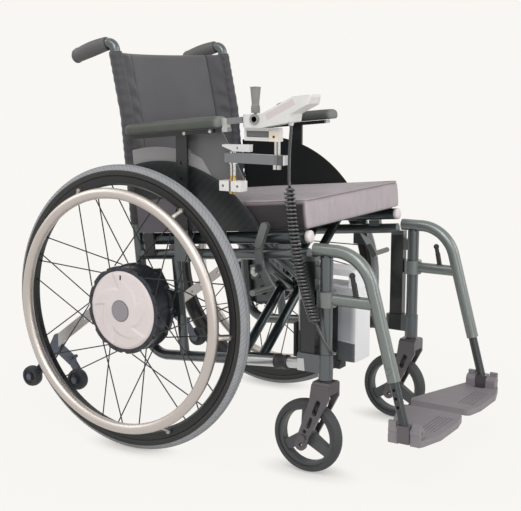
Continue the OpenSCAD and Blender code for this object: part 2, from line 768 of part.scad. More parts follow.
module hanger(side) color("#4a5557") hand(side) on_floor() translate([0, frame_plane, 0]) {
    leg_end = [leg_end_x, 0, hanger_low];
    bar_end = hanger_corner_x + leg_slope * (hanger_z - crossbar_z);
    ring_h = 30;
    slot_r = 9;
    difference() {
        union() {
            tube_run([[hanger_rear, 0, hanger_z], [hanger_corner_x, 0, hanger_z], leg_end], hanger_bend_r, hanger_d);
            bar_x(0, crossbar_z, post_x + post_d / 2 + 3, bar_end, hanger_d - 2);
            translate([post_x, 0, crossbar_z - ring_h / 2]) cylinder(d = hinge_ring_d, h = ring_h);
            translate([post_x, 0, post_top - 28]) cylinder(d = hanger_pin_d, h = hanger_z - post_top + 28);
        }
        translate([post_x, 0, crossbar_z - ring_h]) cylinder(d = post_d + bore_slack, h = 2 * ring_h);
        // Bore for the foot tube
        along(leg_end + leg_dir, -leg_dir) cylinder(d = foot_tube_d + bore_slack, h = 120);
        // Slot for the release lever
        translate([lever_x - slot_r, -lever_slot / 2, crossbar_z - slot_r]) cube([2 * slot_r, lever_slot, 40]);
    }
    bar_y(lever_x, crossbar_z, -lever_slot / 2 - 1, lever_slot / 2 + 1, lever_pin_d);
    // Bolt that sets the foot tube's height
    along(leg_end - leg_dir * 22, [0, 1, 0]) translate([0, 0, hanger_d / 2 - 1.5]) cylinder(d = 11, h = 5);
}
module hanger_lever(side) color("#1c1c1d") hand(side) on_floor() translate([lever_x, frame_plane, crossbar_z]) {
    half = (lever_slot - 1) / 2;
    difference() {
        union() {
            plate(-half, half) union() {
                circle(d = 15);
                strap([0, 0], [-7, 34], 8);
            }
            rod([-6, 0, 28], [-11, 0, 50], 9);
            translate([-11, 0, 50]) sphere(d = 12);
        }
        bar_y(0, 0, -lever_slot, lever_slot, lever_pin_d + bore_slack);
    }
}
module foot_tube(side) color("#3a3d3f") hand(side) on_floor() translate([0, frame_plane, 0]) {
    foot = [foot_x, 0, flip_z];
    y = flip_plane - frame_plane;
    difference() {
        rod(foot + leg_dir * 2, [leg_end_x, 0, hanger_low] - leg_dir * 85, foot_tube_d);
        for (i = [0 : 2]) bar_y(leg_end_x + leg_slope * (14 + 16 * i), hanger_low - 14 - 16 * i, 2, 12, 6);
    }
    translate([foot_x - clamp_len / 2, -11, flip_z - 22]) cube([clamp_len, 22, 34]);
    bar_x(y, flip_z, foot_x - clamp_len / 2 - lug_gap - lug_len, foot_x + clamp_len / 2 + lug_gap + lug_len, flip_pin_d);
}
// Outline of a footplate, drawn as x and distance from the centre plane
module footplate_outline() {
    outer = flip_plane + 10;
    rear_outer = foot_x - clamp_len / 2 - lug_len - 2;
    front_outer = foot_x + clamp_len / 2 + lug_len + 2;
    offset(12, $fn = 24) offset(-12, $fn = 24) polygon([
        [rear_outer, outer], [front_outer, outer], [footplate_front, outer - 60],
        [footplate_front, footplate_gap + 45], [footplate_front - 9, footplate_gap],
        [footplate_rear, footplate_gap], [footplate_rear, footplate_gap + 18]]);
}
module footplate(side) color("#6c6c70") hand(side) on_floor() {
    low = footplate_top - footplate_t;
    rear_lug = foot_x - clamp_len / 2 - lug_gap - lug_len;
    front_lug = foot_x + clamp_len / 2 + lug_gap;
    window = clamp_len + 2 * lug_gap;
    difference() {
        union() {
            translate([0, 0, low]) linear_extrude(footplate_t) footplate_outline();
            for (x = [rear_lug, front_lug]) {
                bar_x(flip_plane, flip_z, x, x + lug_len, 22);
                translate([x, flip_plane - 11, low]) cube([lug_len, 21, flip_z - low]);
            }
            // Raised outer walls, short of the foot tube
            for (x = [rear_lug, front_lug + 4]) translate([x, flip_plane + 3, low])
                cube([lug_len - 4, 7, flip_z - low + 18]);
        }
        bar_x(flip_plane, flip_z, rear_lug - 1, front_lug + lug_len + 1, flip_pin_d + bore_slack);
        translate([foot_x - window / 2, frame_plane - 25, low - 1]) cube([window, 60, 60]);
        // Tread grooves along the front edge
        for (i = [0 : 4]) translate([footplate_front - 46 + 7 * i, footplate_gap + 34, footplate_top - 1.2])
            cube([3, 92, 3]);
    }
}

// Brakes

module brake_lever(side) color("#4d4f50") hand(side) on_floor() {
    pivot = [brake_x, brake_z];
    knee = [brake_x - 4, brake_z + 26];
    neck = [brake_x - 2, brake_z + 46];
    tip = [brake_x + 11, brake_z + 82];
    difference() {
        union() {
            plate(brake_in, brake_in + brake_t) union() {
                strap(pivot, knee, 17);
                strap(knee, neck, 15);
                strap(pivot, [shoe_x, shoe_z], 14);
            }
            plate(brake_in - 2, brake_in + brake_t + 3) strap(neck, tip, 16);
            bar_y(shoe_x, shoe_z, brake_in + 1, wheel_plane + tyre_w / 2 - 2, shoe_d);
        }
        bar_y(brake_x, brake_z, brake_in - 1, brake_in + brake_t + 1, brake_pin_d + bore_slack);
    }
}

// Armrests

// Pad with a flat underside and a softly rounded top
module arm_pad(side) color("#3f423d") hand(side) on_frame()
    translate([pad_rear + pad_len / 2, arm_plane, pad_up - pad_t]) hull() {
        pad_slice(0, 2, 3);
        pad_slice(4, pad_t - 11, 0);
        pad_slice(pad_t - 4, 1, 2.5);
        pad_slice(pad_t - 1, 1, 9);
    }
module pad_slice(z, h, inset) translate([0, 0, z]) linear_extrude(h)
    offset(16 - inset, $fn = 32) square([pad_len - 32, pad_w - 32], center = true);
module arm_post(side) color("#2b2c2d") hand(side) {
    rail_h = 8;
    rail_z = pad_up - pad_t - seat_gap - rail_h;
    on_frame() translate([pad_rear + 11, arm_plane - 9, rail_z]) cube([pad_len - 30, 18, rail_h]);
    on_floor() difference() {
        translate([arm_post_x - arm_post_w / 2, arm_post_in, socket_foot + seat_gap])
            cube([arm_post_w, arm_post_t, slope_z(arm_post_x, rail_z) + 4 - socket_foot]);
        for (i = [0 : 3]) bar_y(arm_post_x, socket_top + 40 + 32 * i, arm_post_in - 1, arm_plane + arm_post_t, 7);
    }
    if (side == RIGHT) {
        // Rest that the control unit docks against
        bar_h = 12;
        bar_z = pad_up - pad_t + 6;
        front = pad_front + seat_gap;
        on_frame() translate([0, arm_plane - 6, 0]) {
            translate([pad_front - 22, 0, rail_z]) cube([22 + 14, 12, rail_h]);
            translate([front, 0, rail_z]) cube([12, 12, bar_z + bar_h - rail_z]);
            translate([front, 0, bar_z]) cube([dock_end - front, 12, bar_h]);
        }
    }
}
// Curved guard beside the wheel, backed by the flat panel that rises to the armrest
module skirt_guard(side) color("#2c2e30") hand(side) {
    rear = -cane_back + sleeve_d / 2 + seat_gap;
    on_frame() {
        plate(skirt_in, skirt_out) union() {
            intersection() {
                translate(skirt_mid) circle(r = skirt_r, $fn = 120);
                translate([rear, guard_low]) square([400, 300]);
            }
            // Tabs down to the side tube
            for (x = guard_tabs) translate([x, side_up]) square([guard_tab_w, guard_low - side_up + 2]);
        }
        plate(skirt_in - panel_t, skirt_in + 0.2) intersection() {
            translate(skirt_mid + panel_shift) circle(r = skirt_r, $fn = 120);
            translate([rear, guard_low]) square([(side == RIGHT ? panel_front : 320) - rear, 300]);
        }
        // Tall panel that carries the control unit
        if (side == RIGHT) plate(skirt_in - panel_t / 2, skirt_in + panel_t / 2)
            polygon([[136, pad_up - pad_t - 1], [225, pad_up - pad_t - 6], [240, 321], [268, 252], [264, 238], [200, 238],
                [192, 262], [172, 297], [138, 321]]);
    }
}

// Anti-tippers

module antitip_arm(side) color("#8f9295") hand(side) on_floor() {
    rear = [-roller_back, roller_z];
    difference() {
        union() {
            plate(tip_bar_in, tip_bar_in + tip_bar_t) strap(tip_pivot, tip_joint, 24);
            plate(tip_leg_in, tip_bar_in + tip_bar_t) strap(tip_joint, tip_joint + [-9, -16], 30);
            plate(tip_leg_in, tip_leg_in + tip_leg_t) union() {
                strap(tip_joint + [-9, -16], [tip_joint[0] - 34, 140], 26);
                strap([tip_joint[0] - 34, 140], rear, 20);
                strap(tip_joint + [-9, -16], [tip_joint[0] + 34, 142], 26);
                strap([tip_joint[0] + 34, 142], tip_front, 20);
            }
            for (p = [rear, tip_front]) {
                bar_y(p[0], p[1], tip_leg_in, roller_in + roller_w + roller_gap + 2, roller_pin_d);
                bar_y(p[0], p[1], roller_in + roller_w + roller_gap, roller_in + roller_w + roller_gap + 3, 15);
            }
            // Release pin through the front leg
            bar_y(tip_joint[0] + 38, 148, tip_leg_in - 10, tip_leg_in + tip_leg_t + 10, 8);
        }
        bar_y(tip_pivot[0], tip_pivot[1], tip_leg_in, tip_bar_in + tip_bar_t + 1, 8 + bore_slack);
        for (i = [2 : 6]) let (p = tip_pivot + (tip_joint - tip_pivot) * i / 8)
            bar_y(p[0], p[1], tip_leg_in, tip_bar_in + tip_bar_t + 1, 7);
    }
}
module roller(side, p) color("#26282b") hand(side) on_floor()
    translate([p[0], roller_in, p[1]]) rotate([-90, 0, 0]) difference() {
        rotate_extrude() intersection() {
            square([roller_d / 2, roller_w]);
            translate([roller_d / 2 - 22, roller_w / 2]) circle(r = 22);
        }
        translate([0, 0, -1]) cylinder(d = roller_pin_d + bore_slack, h = roller_w + 2);
        translate([0, 0, roller_w - 2]) difference() {
            cylinder(d = roller_d - 16, h = 3);
            translate([0, 0, -1]) cylinder(d = 20, h = 5);
        }
    }
module antitip_rear_roller(side) roller(side, [-roller_back, roller_z]);
module antitip_front_roller(side) roller(side, tip_front);

// Cross brace and seat

// Two tubes, a pivot sleeve and a seat tube, for the arm that rises to the given side
module cross_arm(rise, first_x) on_frame() mirror([0, rise == LEFT ? 0 : 1, 0]) {
    difference() {
        union() {
            for (x = [first_x, first_x + 2 * brace_step]) {
                rod([x, brace_low[0], brace_low[1]], [x, brace_top[0], brace_top[1]], brace_tube);
                bar_x(0, brace_mid_z, x - brace_tube / 2, x + brace_tube / 2, brace_tube + 4);
            }
            bar_x(brace_low[0], brace_low[1], brace_sleeve_x, brace_sleeve_x + brace_sleeve_len, brace_sleeve_d + 1);
            bar_x(seat_plane, seat_up, -5, seat_front - cap_len, seat_tube);
            bar_x(seat_plane, seat_up, seat_front - cap_len - 1, seat_front, seat_tube - 1);
        }
        bar_x(brace_low[0], brace_low[1], brace_sleeve_x - 1, brace_sleeve_x + brace_sleeve_len + 1,
            brace_pin_d + bore_slack);
        bar_x(0, brace_mid_z, brace_x - 40, brace_x + 3 * brace_step + 40, brace_bolt_d + bore_slack);
    }
}
module cross_arm_a() color("#3b4043") cross_arm(LEFT, brace_x);
module cross_arm_b() color("#3b4043") cross_arm(RIGHT, brace_x + brace_step);
module cross_bolt() color("#9a9c9e") on_frame() {
    rear = brace_x - brace_tube / 2 - seat_gap;
    front = brace_x + 3 * brace_step + brace_tube / 2 + seat_gap;
    bar_x(0, brace_mid_z, rear - 4, front + 4, brace_bolt_d);
    bar_x(0, brace_mid_z, rear - 7, rear, brace_bolt_d + 7);
    bar_x(0, brace_mid_z, front, front + 7, brace_bolt_d + 7);
}
module seat_sling() color("#27282a") on_frame()
    translate([2, -seat_plane, sling_z]) cube([seat_front - 14, 2 * seat_plane, sling_t]);

// Crowned block with drawn-in sides, as rings of points from the underside to the crown
ring_n = 56;
cushion_rings = [[0.96, 0], [0.99, 0.06], [1, 0.2], [0.993, 0.5], [1, 0.8], [0.992, 0.94], [0.975, 1],
    [0.9, 1.35], [0.72, 1.7], [0.48, 1.9], [0.22, 1.99]];
// Point of a squarish ring at angle a: half sizes hx and hy
function square_round(a, hx, hy) = let (c = cos(a), s = sin(a), p = 0.16)
    [hx * sign(c) * pow(abs(c), p), hy * sign(s) * pow(abs(s), p)];
// Height of a ring: its sides up to 1, its crown from 1 to 2
function ring_z(v) = v <= 1 ? v * cushion_t : cushion_t + (v - 1) * cushion_crown;
module seat_cushion() color("#a39aa0") on_frame() translate([2 + cushion_len / 2, 0, cushion_z]) {
    rows = len(cushion_rings);
    rings = [for (r = cushion_rings, i = [0 : ring_n - 1]) let (
        a = 360 / ring_n * (i + 0.5),
        draw = 1 - 0.012 * pow(sin(2 * a), 2) * (r[1] > 0.1 && r[1] < 0.9 ? 0 : 0.4),
        q = square_round(a, cushion_len / 2 * r[0], cushion_half * r[0]))
        [q[0] * draw, q[1] * draw, ring_z(r[1])]];
    faces = concat(
        [for (k = [0 : rows - 2], i = [0 : ring_n - 1]) let (j = (i + 1) % ring_n)
            [k * ring_n + i, (k + 1) * ring_n + i, (k + 1) * ring_n + j]],
        [for (k = [0 : rows - 2], i = [0 : ring_n - 1]) let (j = (i + 1) % ring_n)
            [k * ring_n + i, (k + 1) * ring_n + j, k * ring_n + j]],
        [for (i = [1 : ring_n - 2]) [0, i, i + 1]],
        [for (i = [1 : ring_n - 2]) let (t = (rows - 1) * ring_n) [t, t + i + 1, t + i]]);
    polyhedron(rings, faces);
}
// Middle line of a cane between two heights, through its knee
function cane_line(s, low, high) = [[-cane_back, s * frame_plane, low], [-cane_back, s * frame_plane, cane_knee],
    [-cane_back - (high - cane_knee) * tan(cane_lean), s * frame_plane, high]];
// Section of the slung panel, seen from above
module back_section(swell = 0) {
    front_r = back_sag_r - 4;
    intersection() {
        difference() {
            translate([back_sag_r - back_sag - cane_back, 0]) circle(r = back_sag_r + swell, $fn = 240);
            translate([front_r - back_sag + back_t - cane_back, 0]) circle(r = front_r - swell, $fn = 240);
        }
        translate([-cane_back - 60, -frame_plane]) square([90, 2 * frame_plane]);
    }
}
// Upholstery slung between the canes, round which it is sewn in sleeves
module back_upholstery() color("#3d3c40") on_frame() difference() {
    union() {
        for (s = [-1, 1]) tube_run(cane_line(s, back_low, back_top), knee_r, sleeve_d);
        translate([0, 0, back_low + back_hem]) linear_extrude(cane_knee - back_low - back_hem) back_section();
        translate([-cane_back, 0, cane_knee]) rotate([0, -cane_lean, 0]) translate([cane_back, 0, -knee_lap])
            linear_extrude((back_top - cane_knee) / cos(cane_lean) + knee_lap - back_hem) back_section();
        // Sewn band over the line where the panel bends
        translate([0, 0, cane_knee + knee_band[0]]) linear_extrude(knee_band[1] - knee_band[0]) back_section(knee_band_t);
    }
    for (s = [-1, 1]) tube_run(cane_line(s, back_low - 1, back_top + 1), knee_r, frame_tube + 2 * seat_gap);
}

// Control unit

module right_hand() mirror([0, 1, 0]) on_floor() children();
module control_clamp() color("#cfcdca") right_hand() {
    pin_top = swing_bar_z + swing_bar_h / 2 + 3;
    low = clamp_z - clamp_h / 2;
    in = skirt_out + seat_gap;
    foot_in = skirt_in + panel_t / 2 + seat_gap;
    difference() {
        union() {
            translate([swing_x - clamp_len_x / 2, in, low]) cube([clamp_len_x, control_y + 11 - in, clamp_h]);
            // Foot against the tall panel
            translate([swing_x + 2, foot_in, clamp_z - 2]) cube([20, in + 2 - foot_in, clamp_h / 2]);
        }
        for (x = [swing_x - 17, swing_x + 17]) bar_y(x, clamp_z, foot_in - 1, control_y + 12, 6);
    }
    translate([swing_x, control_y, low - 6]) cylinder(d = swing_rod_d, h = pin_top - low + 6);
    translate([swing_x, control_y, low - 5]) cylinder(d = swing_rod_d + 4, h = 6, $fn = 6);
    translate([swing_x, control_y, low + clamp_h - 1]) cylinder(d = swing_rod_d + 3, h = 7);
    translate([swing_x, control_y, swing_bar_z - swing_bar_h / 2 - seat_gap - 3]) cylinder(d = swing_rod_d + 4, h = 3);
    translate([swing_x, control_y, pin_top - 2.5]) cylinder(d = lever_pivot_d, h = lever_pin_up);
}
module control_arm() color("#5a5d60") right_hand() {
    low = swing_bar_z - swing_bar_h / 2;
    slot_h = 12;
    difference() {
        translate([swing_x - swing_tail, control_y - swing_bar_w / 2, low])
            cube([swing_bar_front - swing_x + swing_tail, swing_bar_w, swing_bar_h]);
        translate([swing_x, control_y, low - 1]) cylinder(d = swing_rod_d + bore_slack, h = swing_bar_h + 2);
    }
    translate([carrier_x, control_y, low - 9]) cylinder(d = swing_rod_d, h = bracket_z - low + 10);
    translate([carrier_x, control_y, low - 9]) cylinder(d = swing_rod_d + 6, h = 9 + 1, $fn = 6);
    // Block and slotted bracket that carry the housing
    translate([carrier_x - 14, control_y - 8, bracket_z]) cube([22, 16, 20]);
    difference() {
        translate([stick_x - 22, control_y - 6, bracket_z]) cube([carrier_x + 8 - stick_x + 22, 12, bracket_h - seat_gap]);
        translate([stick_x - 17, control_y - 7, bracket_z + 7]) cube([carrier_x - 14 - stick_x + 17, 14, slot_h]);
    }
}
// Wedge-shaped lever, seen from the side
module control_lever() color("#c9c9c7") right_hand() {
    top = swing_bar_z + swing_bar_h / 2;
    difference() {
        plate(control_y - 6.5, control_y + 6.5) translate([swing_x, top + 4])
            polygon([[-21, 9], [6, 0], [42, 0], [43, 14], [8, 13], [-21, 12.5]]);
        translate([swing_x, control_y, top]) cylinder(d = lever_pivot_d + bore_slack, h = 30);
    }
}
// Side view of the housing: joystick deck at the rear, sloped panel rising to the front
module housing_shape() offset(4, $fn = 24) offset(-4, $fn = 24) polygon([
    [stick_x - 20, body_z], [stick_x - 20, stick_z - 9], [stick_x + 28, stick_z - 6], [stick_x + 96, stick_z + 27],
    [stick_x + 134, stick_z + 31], [stick_x + 128, stick_z + 13], [stick_x + 90, stick_z - 6],
    [stick_x + 88, body_z + 12], [stick_x + 26, body_z]]);
stick_cup_r = 13;
gimbal_r = 9.5;
gimbal_pin_d = 4;
gimbal_z = stick_z - 14;
key_n = 3;
key_d = 11;
panel_angle = atan2(33, 68);
// Middle of the keys, ahead of and above the joystick's deck
keys_mid = [62, 10.5];
module on_panel() translate([stick_x + keys_mid[0], control_y, stick_z + keys_mid[1]]) rotate([0, -panel_angle, 0]) children();
module control_housing() color("#dcdad6") right_hand() {
    half = control_w / 2;
    difference() {
        union() {
            intersection() {
                plate(control_y - half, control_y + half) housing_shape();
                translate([stick_x - 20, control_y - half, body_z - 1]) round_box([155, control_w, 80], 14);
            }
            bar_y(stick_x + 13, stick_z - 17, control_y + half - 1, control_y + half + 3, socket_d + 9);
            translate([stick_x + 79, control_y, body_z + 5]) cylinder(d1 = 9, d2 = 13, h = 11);
        }
        bar_y(stick_x + 13, stick_z - 17, control_y + half - 10, control_y + half + 4, socket_d);
        translate([stick_x, control_y, stick_z - 24]) cylinder(r = stick_cup_r, h = 40);
        on_panel() for (i = [0 : key_n - 1]) translate([0, (i - 1) * 13, -6]) cylinder(d = key_d + 2 * seat_gap, h = 20);
    }
    // Pins that the gimbal rocks on
    bar_y(stick_x, gimbal_z, control_y + 6.5, control_y + stick_cup_r + 1, gimbal_pin_d);
    bar_y(stick_x, gimbal_z, control_y - stick_cup_r - 1, control_y - 6.5, gimbal_pin_d);
}
module control_keys() color("#7d8083") right_hand() on_panel()
    for (i = [0 : key_n - 1]) translate([0, (i - 1) * 13, -3]) cylinder(d = key_d, h = 5.5);
module joystick_gimbal() color("#8a8a8a") right_hand() translate([stick_x, control_y, gimbal_z]) difference() {
    sphere(r = gimbal_r);
    translate([-20, -20, 4]) cube([40, 40, 20]);
    translate([-20, -20, -24]) cube([40, 40, 20]);
    bar_y(0, 0, -12, 12, gimbal_pin_d + bore_slack);
    bar_x(0, 0, -12, 12, gimbal_pin_d + bore_slack);
    cylinder(r = 6, h = 30, center = true);
}
module joystick() color("#6e6e6e") right_hand() translate([stick_x, control_y, gimbal_z]) {
    bar_x(0, 0, -gimbal_r, gimbal_r, gimbal_pin_d);
    cylinder(d = 6, h = 14);
    translate([0, 0, 8]) cylinder(r1 = 6.5, r2 = 9, h = 6);
    translate([0, 0, 13]) rotate_extrude() polygon([[0, 0], [9.5, 0], [8.2, 2], [9.2, 4], [7.8, 6], [8.8, 8], [7.4, 10],
        [7.4, 14], [8.2, 22], [stick_d / 2 - 0.8, stick_h], [stick_d / 2, stick_h + 1], [0, stick_h + 2]]);
}

// Battery

module battery_pack() color("#b9bbbd") right_hand() {
    rear = battery_front - battery_len;
    inner = battery_plane - battery_w;
    handle_h = 34;
    recess = [12, 42];
    difference() {
        translate([rear, inner, battery_z]) union() {
            round_box([battery_len, battery_w, battery_h], 9);
            translate([8, 8, battery_h]) difference() {
                round_box([battery_len - 16, battery_w - 16, handle_h], 8);
                translate([14, -1, -1]) cube([battery_len - 44, battery_w, handle_h - 12]);
            }
        }
        // Side panel recess
        translate([rear + recess[0], battery_plane - 1.5, battery_z + recess[1]])
            cube([battery_len - 2 * recess[0], 3, battery_h - recess[1] - 16]);
    }
}
module battery_holder() color("#34373a") right_hand() {
    rear = battery_front - battery_len;
    side_in = battery_plane + seat_gap;
    side_t = 4;
    low = battery_z - seat_gap - 5;
    translate([rear + 10, side_in, low]) cube([battery_len - 50, side_t, 120]);
    translate([rear - 5, battery_plane - battery_w + 6, low]) cube([battery_len - 25, battery_w - 6 + side_t + seat_gap, 5]);
    translate([rear - 5 - seat_gap, battery_plane - battery_w + 6, low]) cube([5, battery_w - 6 + side_t + seat_gap, 70]);
    // Arms to the front upright
    for (z = [40, 100]) translate([upright_x - 8, side_in, low + z]) cube([16, frame_plane - upright_t / 2 - side_in, 14]);
    // Connector foot
    translate([rear + 70, battery_plane - 30, low - 14]) cube([28, 26, 15]);
    translate([404 - 6, battery_plane + 4, 246 - 7]) cube([12, 4, 14]);
}

// Control cord

// Point at share t of a curve from a to c, drawn towards b
function bow(a, b, c, t) = a * (1 - t) * (1 - t) + b * 2 * t * (1 - t) + c * t * t;
curl_steps = curl_n * 8;
// Share of the full curl radius, which grows from and shrinks to the straight ends
function curl_grow(i) = min(1, i / 8, (curl_steps - i) / 8);
function curl_point(i) = let (t = i / curl_steps, a = 45 * i, r = curl_r * curl_grow(i))
    bow(curl_start, curl_sag, curl_end, t) + [r * cos(a), r * sin(a), 0.25 * r * cos(a)];
cord_points = concat(lead_top, [for (i = [0 : curl_steps]) curl_point(i)], lead_route);
cord_last = len(cord_points) - 1;
function cord_dir(i) = unit(cord_points[min(i + 1, cord_last)] - cord_points[max(i - 1, 0)]);
// Side direction u turned square to d
function carried(u, d) = unit(u - d * (u * d));
// Side direction at every point, carried along the cord so that its rings never twist
cord_up = [for (i = 0, u = carried([0, 1, 0], cord_dir(0)); i <= cord_last;
    i = i + 1, u = i <= cord_last ? carried(u, cord_dir(i)) : u) u];
cord_sides = 6;
module control_cord() color("#17181a") on_floor() {
    rings = [for (i = [0 : cord_last]) let (
        d = cord_dir(i),
        u = cord_up[i],
        v = cross(d, u))
        for (k = [0 : cord_sides - 1])
            cord_points[i] + (u * cos(360 / cord_sides * k) + v * sin(360 / cord_sides * k)) * cord_d / 2];
    faces = concat(
        [for (i = [0 : cord_last - 1], k = [0 : cord_sides - 1]) let (m = (k + 1) % cord_sides)
            [i * cord_sides + k, i * cord_sides + m, (i + 1) * cord_sides + m]],
        [for (i = [0 : cord_last - 1], k = [0 : cord_sides - 1]) let (m = (k + 1) % cord_sides)
            [i * cord_sides + k, (i + 1) * cord_sides + m, (i + 1) * cord_sides + k]],
        [for (k = [1 : cord_sides - 2]) [0, k + 1, k]],
        [for (k = [1 : cord_sides - 2]) let (t = cord_last * cord_sides) [t, t + k, t + k + 1]]);
    polyhedron(rings, faces);
}
// Least gap between the cord and its own earlier turns
cord_gap = min([for (i = [0 : cord_last - 5], j = [i + 5 : min(i + 20, cord_last)])
    norm(cord_points[i] - cord_points[j])]) - cord_d;
echo(cord_gap = cord_gap);

side_frame(RIGHT);  // right_side_frame
back_cane(RIGHT);  // right_back_cane
push_grip(RIGHT);  // right_push_grip
tyre(RIGHT);  // right_tyre
rim(RIGHT);  // right_rim
handrim(RIGHT);  // right_handrim
hub_shell(RIGHT);  // right_hub_shell
hub_cover(RIGHT);  // right_hub_cover
motor_stator(RIGHT);  // right_motor_stator
caster_fork(RIGHT);  // right_caster_fork
caster_wheel(RIGHT);  // right_caster_wheel
hanger(RIGHT);  // right_hanger
hanger_lever(RIGHT);  // right_hanger_lever
foot_tube(RIGHT);  // right_foot_tube
footplate(RIGHT);  // right_footplate
brake_lever(RIGHT);  // right_brake_lever
arm_pad(RIGHT);  // right_arm_pad
arm_post(RIGHT);  // right_arm_post
skirt_guard(RIGHT);  // right_skirt_guard
antitip_arm(RIGHT);  // right_antitip_arm
antitip_rear_roller(RIGHT);  // right_antitip_rear_roller
antitip_front_roller(RIGHT);  // right_antitip_front_roller
side_frame(LEFT);  // left_side_frame
back_cane(LEFT);  // left_back_cane
push_grip(LEFT);  // left_push_grip
tyre(LEFT);  // left_tyre
rim(LEFT);  // left_rim
handrim(LEFT);  // left_handrim
hub_shell(LEFT);  // left_hub_shell
hub_cover(LEFT);  // left_hub_cover
motor_stator(LEFT);  // left_motor_stator
caster_fork(LEFT);  // left_caster_fork
caster_wheel(LEFT);  // left_caster_wheel
hanger(LEFT);  // left_hanger
hanger_lever(LEFT);  // left_hanger_lever
foot_tube(LEFT);  // left_foot_tube
footplate(LEFT);  // left_footplate
brake_lever(LEFT);  // left_brake_lever
arm_pad(LEFT);  // left_arm_pad
arm_post(LEFT);  // left_arm_post
skirt_guard(LEFT);  // left_skirt_guard
antitip_arm(LEFT);  // left_antitip_arm
antitip_rear_roller(LEFT);  // left_antitip_rear_roller
antitip_front_roller(LEFT);  // left_antitip_front_roller
cross_arm_a();
cross_arm_b();
cross_bolt();
seat_sling();
seat_cushion();
back_upholstery();
control_clamp();
control_arm();
control_lever();
control_housing();
control_keys();
joystick_gimbal();
joystick();
battery_holder();
battery_pack();
control_cord();
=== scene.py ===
import math
import bmesh
import bpy
from mathutils import Matrix, Vector


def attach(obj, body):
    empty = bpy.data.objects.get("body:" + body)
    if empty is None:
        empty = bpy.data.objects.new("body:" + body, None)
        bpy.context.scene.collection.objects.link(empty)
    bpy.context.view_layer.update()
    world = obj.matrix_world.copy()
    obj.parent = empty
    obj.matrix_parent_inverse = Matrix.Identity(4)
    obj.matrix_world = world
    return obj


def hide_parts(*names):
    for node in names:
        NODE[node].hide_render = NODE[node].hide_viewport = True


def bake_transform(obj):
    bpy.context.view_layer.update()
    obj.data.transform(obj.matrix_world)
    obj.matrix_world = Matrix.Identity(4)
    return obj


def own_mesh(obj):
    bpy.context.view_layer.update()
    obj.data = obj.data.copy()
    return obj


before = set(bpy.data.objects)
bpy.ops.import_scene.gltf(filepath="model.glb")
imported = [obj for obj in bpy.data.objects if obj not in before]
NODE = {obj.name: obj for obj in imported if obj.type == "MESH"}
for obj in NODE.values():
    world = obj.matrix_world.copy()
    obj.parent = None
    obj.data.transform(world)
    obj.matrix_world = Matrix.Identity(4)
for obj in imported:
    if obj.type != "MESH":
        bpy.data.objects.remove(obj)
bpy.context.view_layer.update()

SIDES = {"right": -1, "left": 1}

# Chair places: x ahead of the rear axle, y to the occupant's left, z above the floor, in millimetres
AXLE_X = -144.0
AXLE_Z = 300.0
TILT = math.radians(5.5)
WHEEL_Y = 281.0
FRAME_Y = 199.0
ARM_Y = 228.0
SEAT_TUBE_Y = 196.0
CASTER_X = 386.0
CASTER_Z = 75.0
STICK_X = 281.0
FOOT_CLAMP_TOP = 134.2


def place(x, y, z):
    return Vector(((x + AXLE_X) / 1000, y / 1000, z / 1000))


def slope(x, y, z):
    """A place measured along the sloping seat: x along it, z square to it, both from the rear axle."""
    c, s = math.cos(TILT), math.sin(TILT)
    return place(x * c - z * s, y, AXLE_Z + x * s + z * c)


def hub_spot(k, r, a, y):
    """A place on a rear wheel: r from its axle at angle a, and y out from the chair's middle on side k."""
    return place(r * math.cos(a), k * y, AXLE_Z + r * math.sin(a))


# Camera at the photograph's viewing angle
lens = bpy.data.cameras.new("camera")
lens.sensor_fit = "HORIZONTAL"
lens.sensor_width = 36
lens.lens = 72.54
camera = bpy.data.objects.new("camera", lens)
camera.location = place(1376.9, -1930.6, 787.2)
camera.rotation_euler = (math.radians(80.02), 0, math.radians(32.5))
bpy.context.scene.collection.objects.link(camera)
bpy.context.scene.camera = camera
bpy.context.scene.view_settings.view_transform = "Standard"


# Shader maths
class Value:
    """A shader socket. Sums and products of values add Math nodes to its finish."""

    def __init__(self, finish, socket):
        self.finish = finish
        self.socket = socket

    def math(self, operation, *terms):
        return self.finish.add("ShaderNodeMath", {"operation": operation}, dict(enumerate(terms)))

    def __add__(self, other):
        return self.math("ADD", self, other)

    def __sub__(self, other):
        return self.math("SUBTRACT", self, other)

    def __rsub__(self, other):
        return self.math("SUBTRACT", other, self)

    def __mul__(self, other):
        return self.math("MULTIPLY", self, other)

    def over(self, edge):
        return self.math("GREATER_THAN", self, edge)

    def under(self, edge):
        return self.math("LESS_THAN", self, edge)

    def size(self):
        return self.math("ABSOLUTE", self)

    def wave(self, rate):
        return self.math("SINE", self * rate)

    def step(self, low, high):
        """0 below low and 1 above high, smooth between."""
        return self.finish.add("ShaderNodeMapRange", {"interpolation_type": "SMOOTHSTEP"},
                               {"Value": self, "From Min": low, "From Max": high})

    def between(self, low, high):
        """1 from low to high and 0 elsewhere."""
        return self.over(low) * self.under(high)


def tone(code):
    """A screen colour such as "#4a5154" as the linear colour that shaders take."""
    parts = [int(code[i:i + 2], 16) / 255 for i in (1, 3, 5)]
    return tuple(p / 12.92 if p < 0.04045 else ((p + 0.055) / 1.055) ** 2.4 for p in parts) + (1.0,)


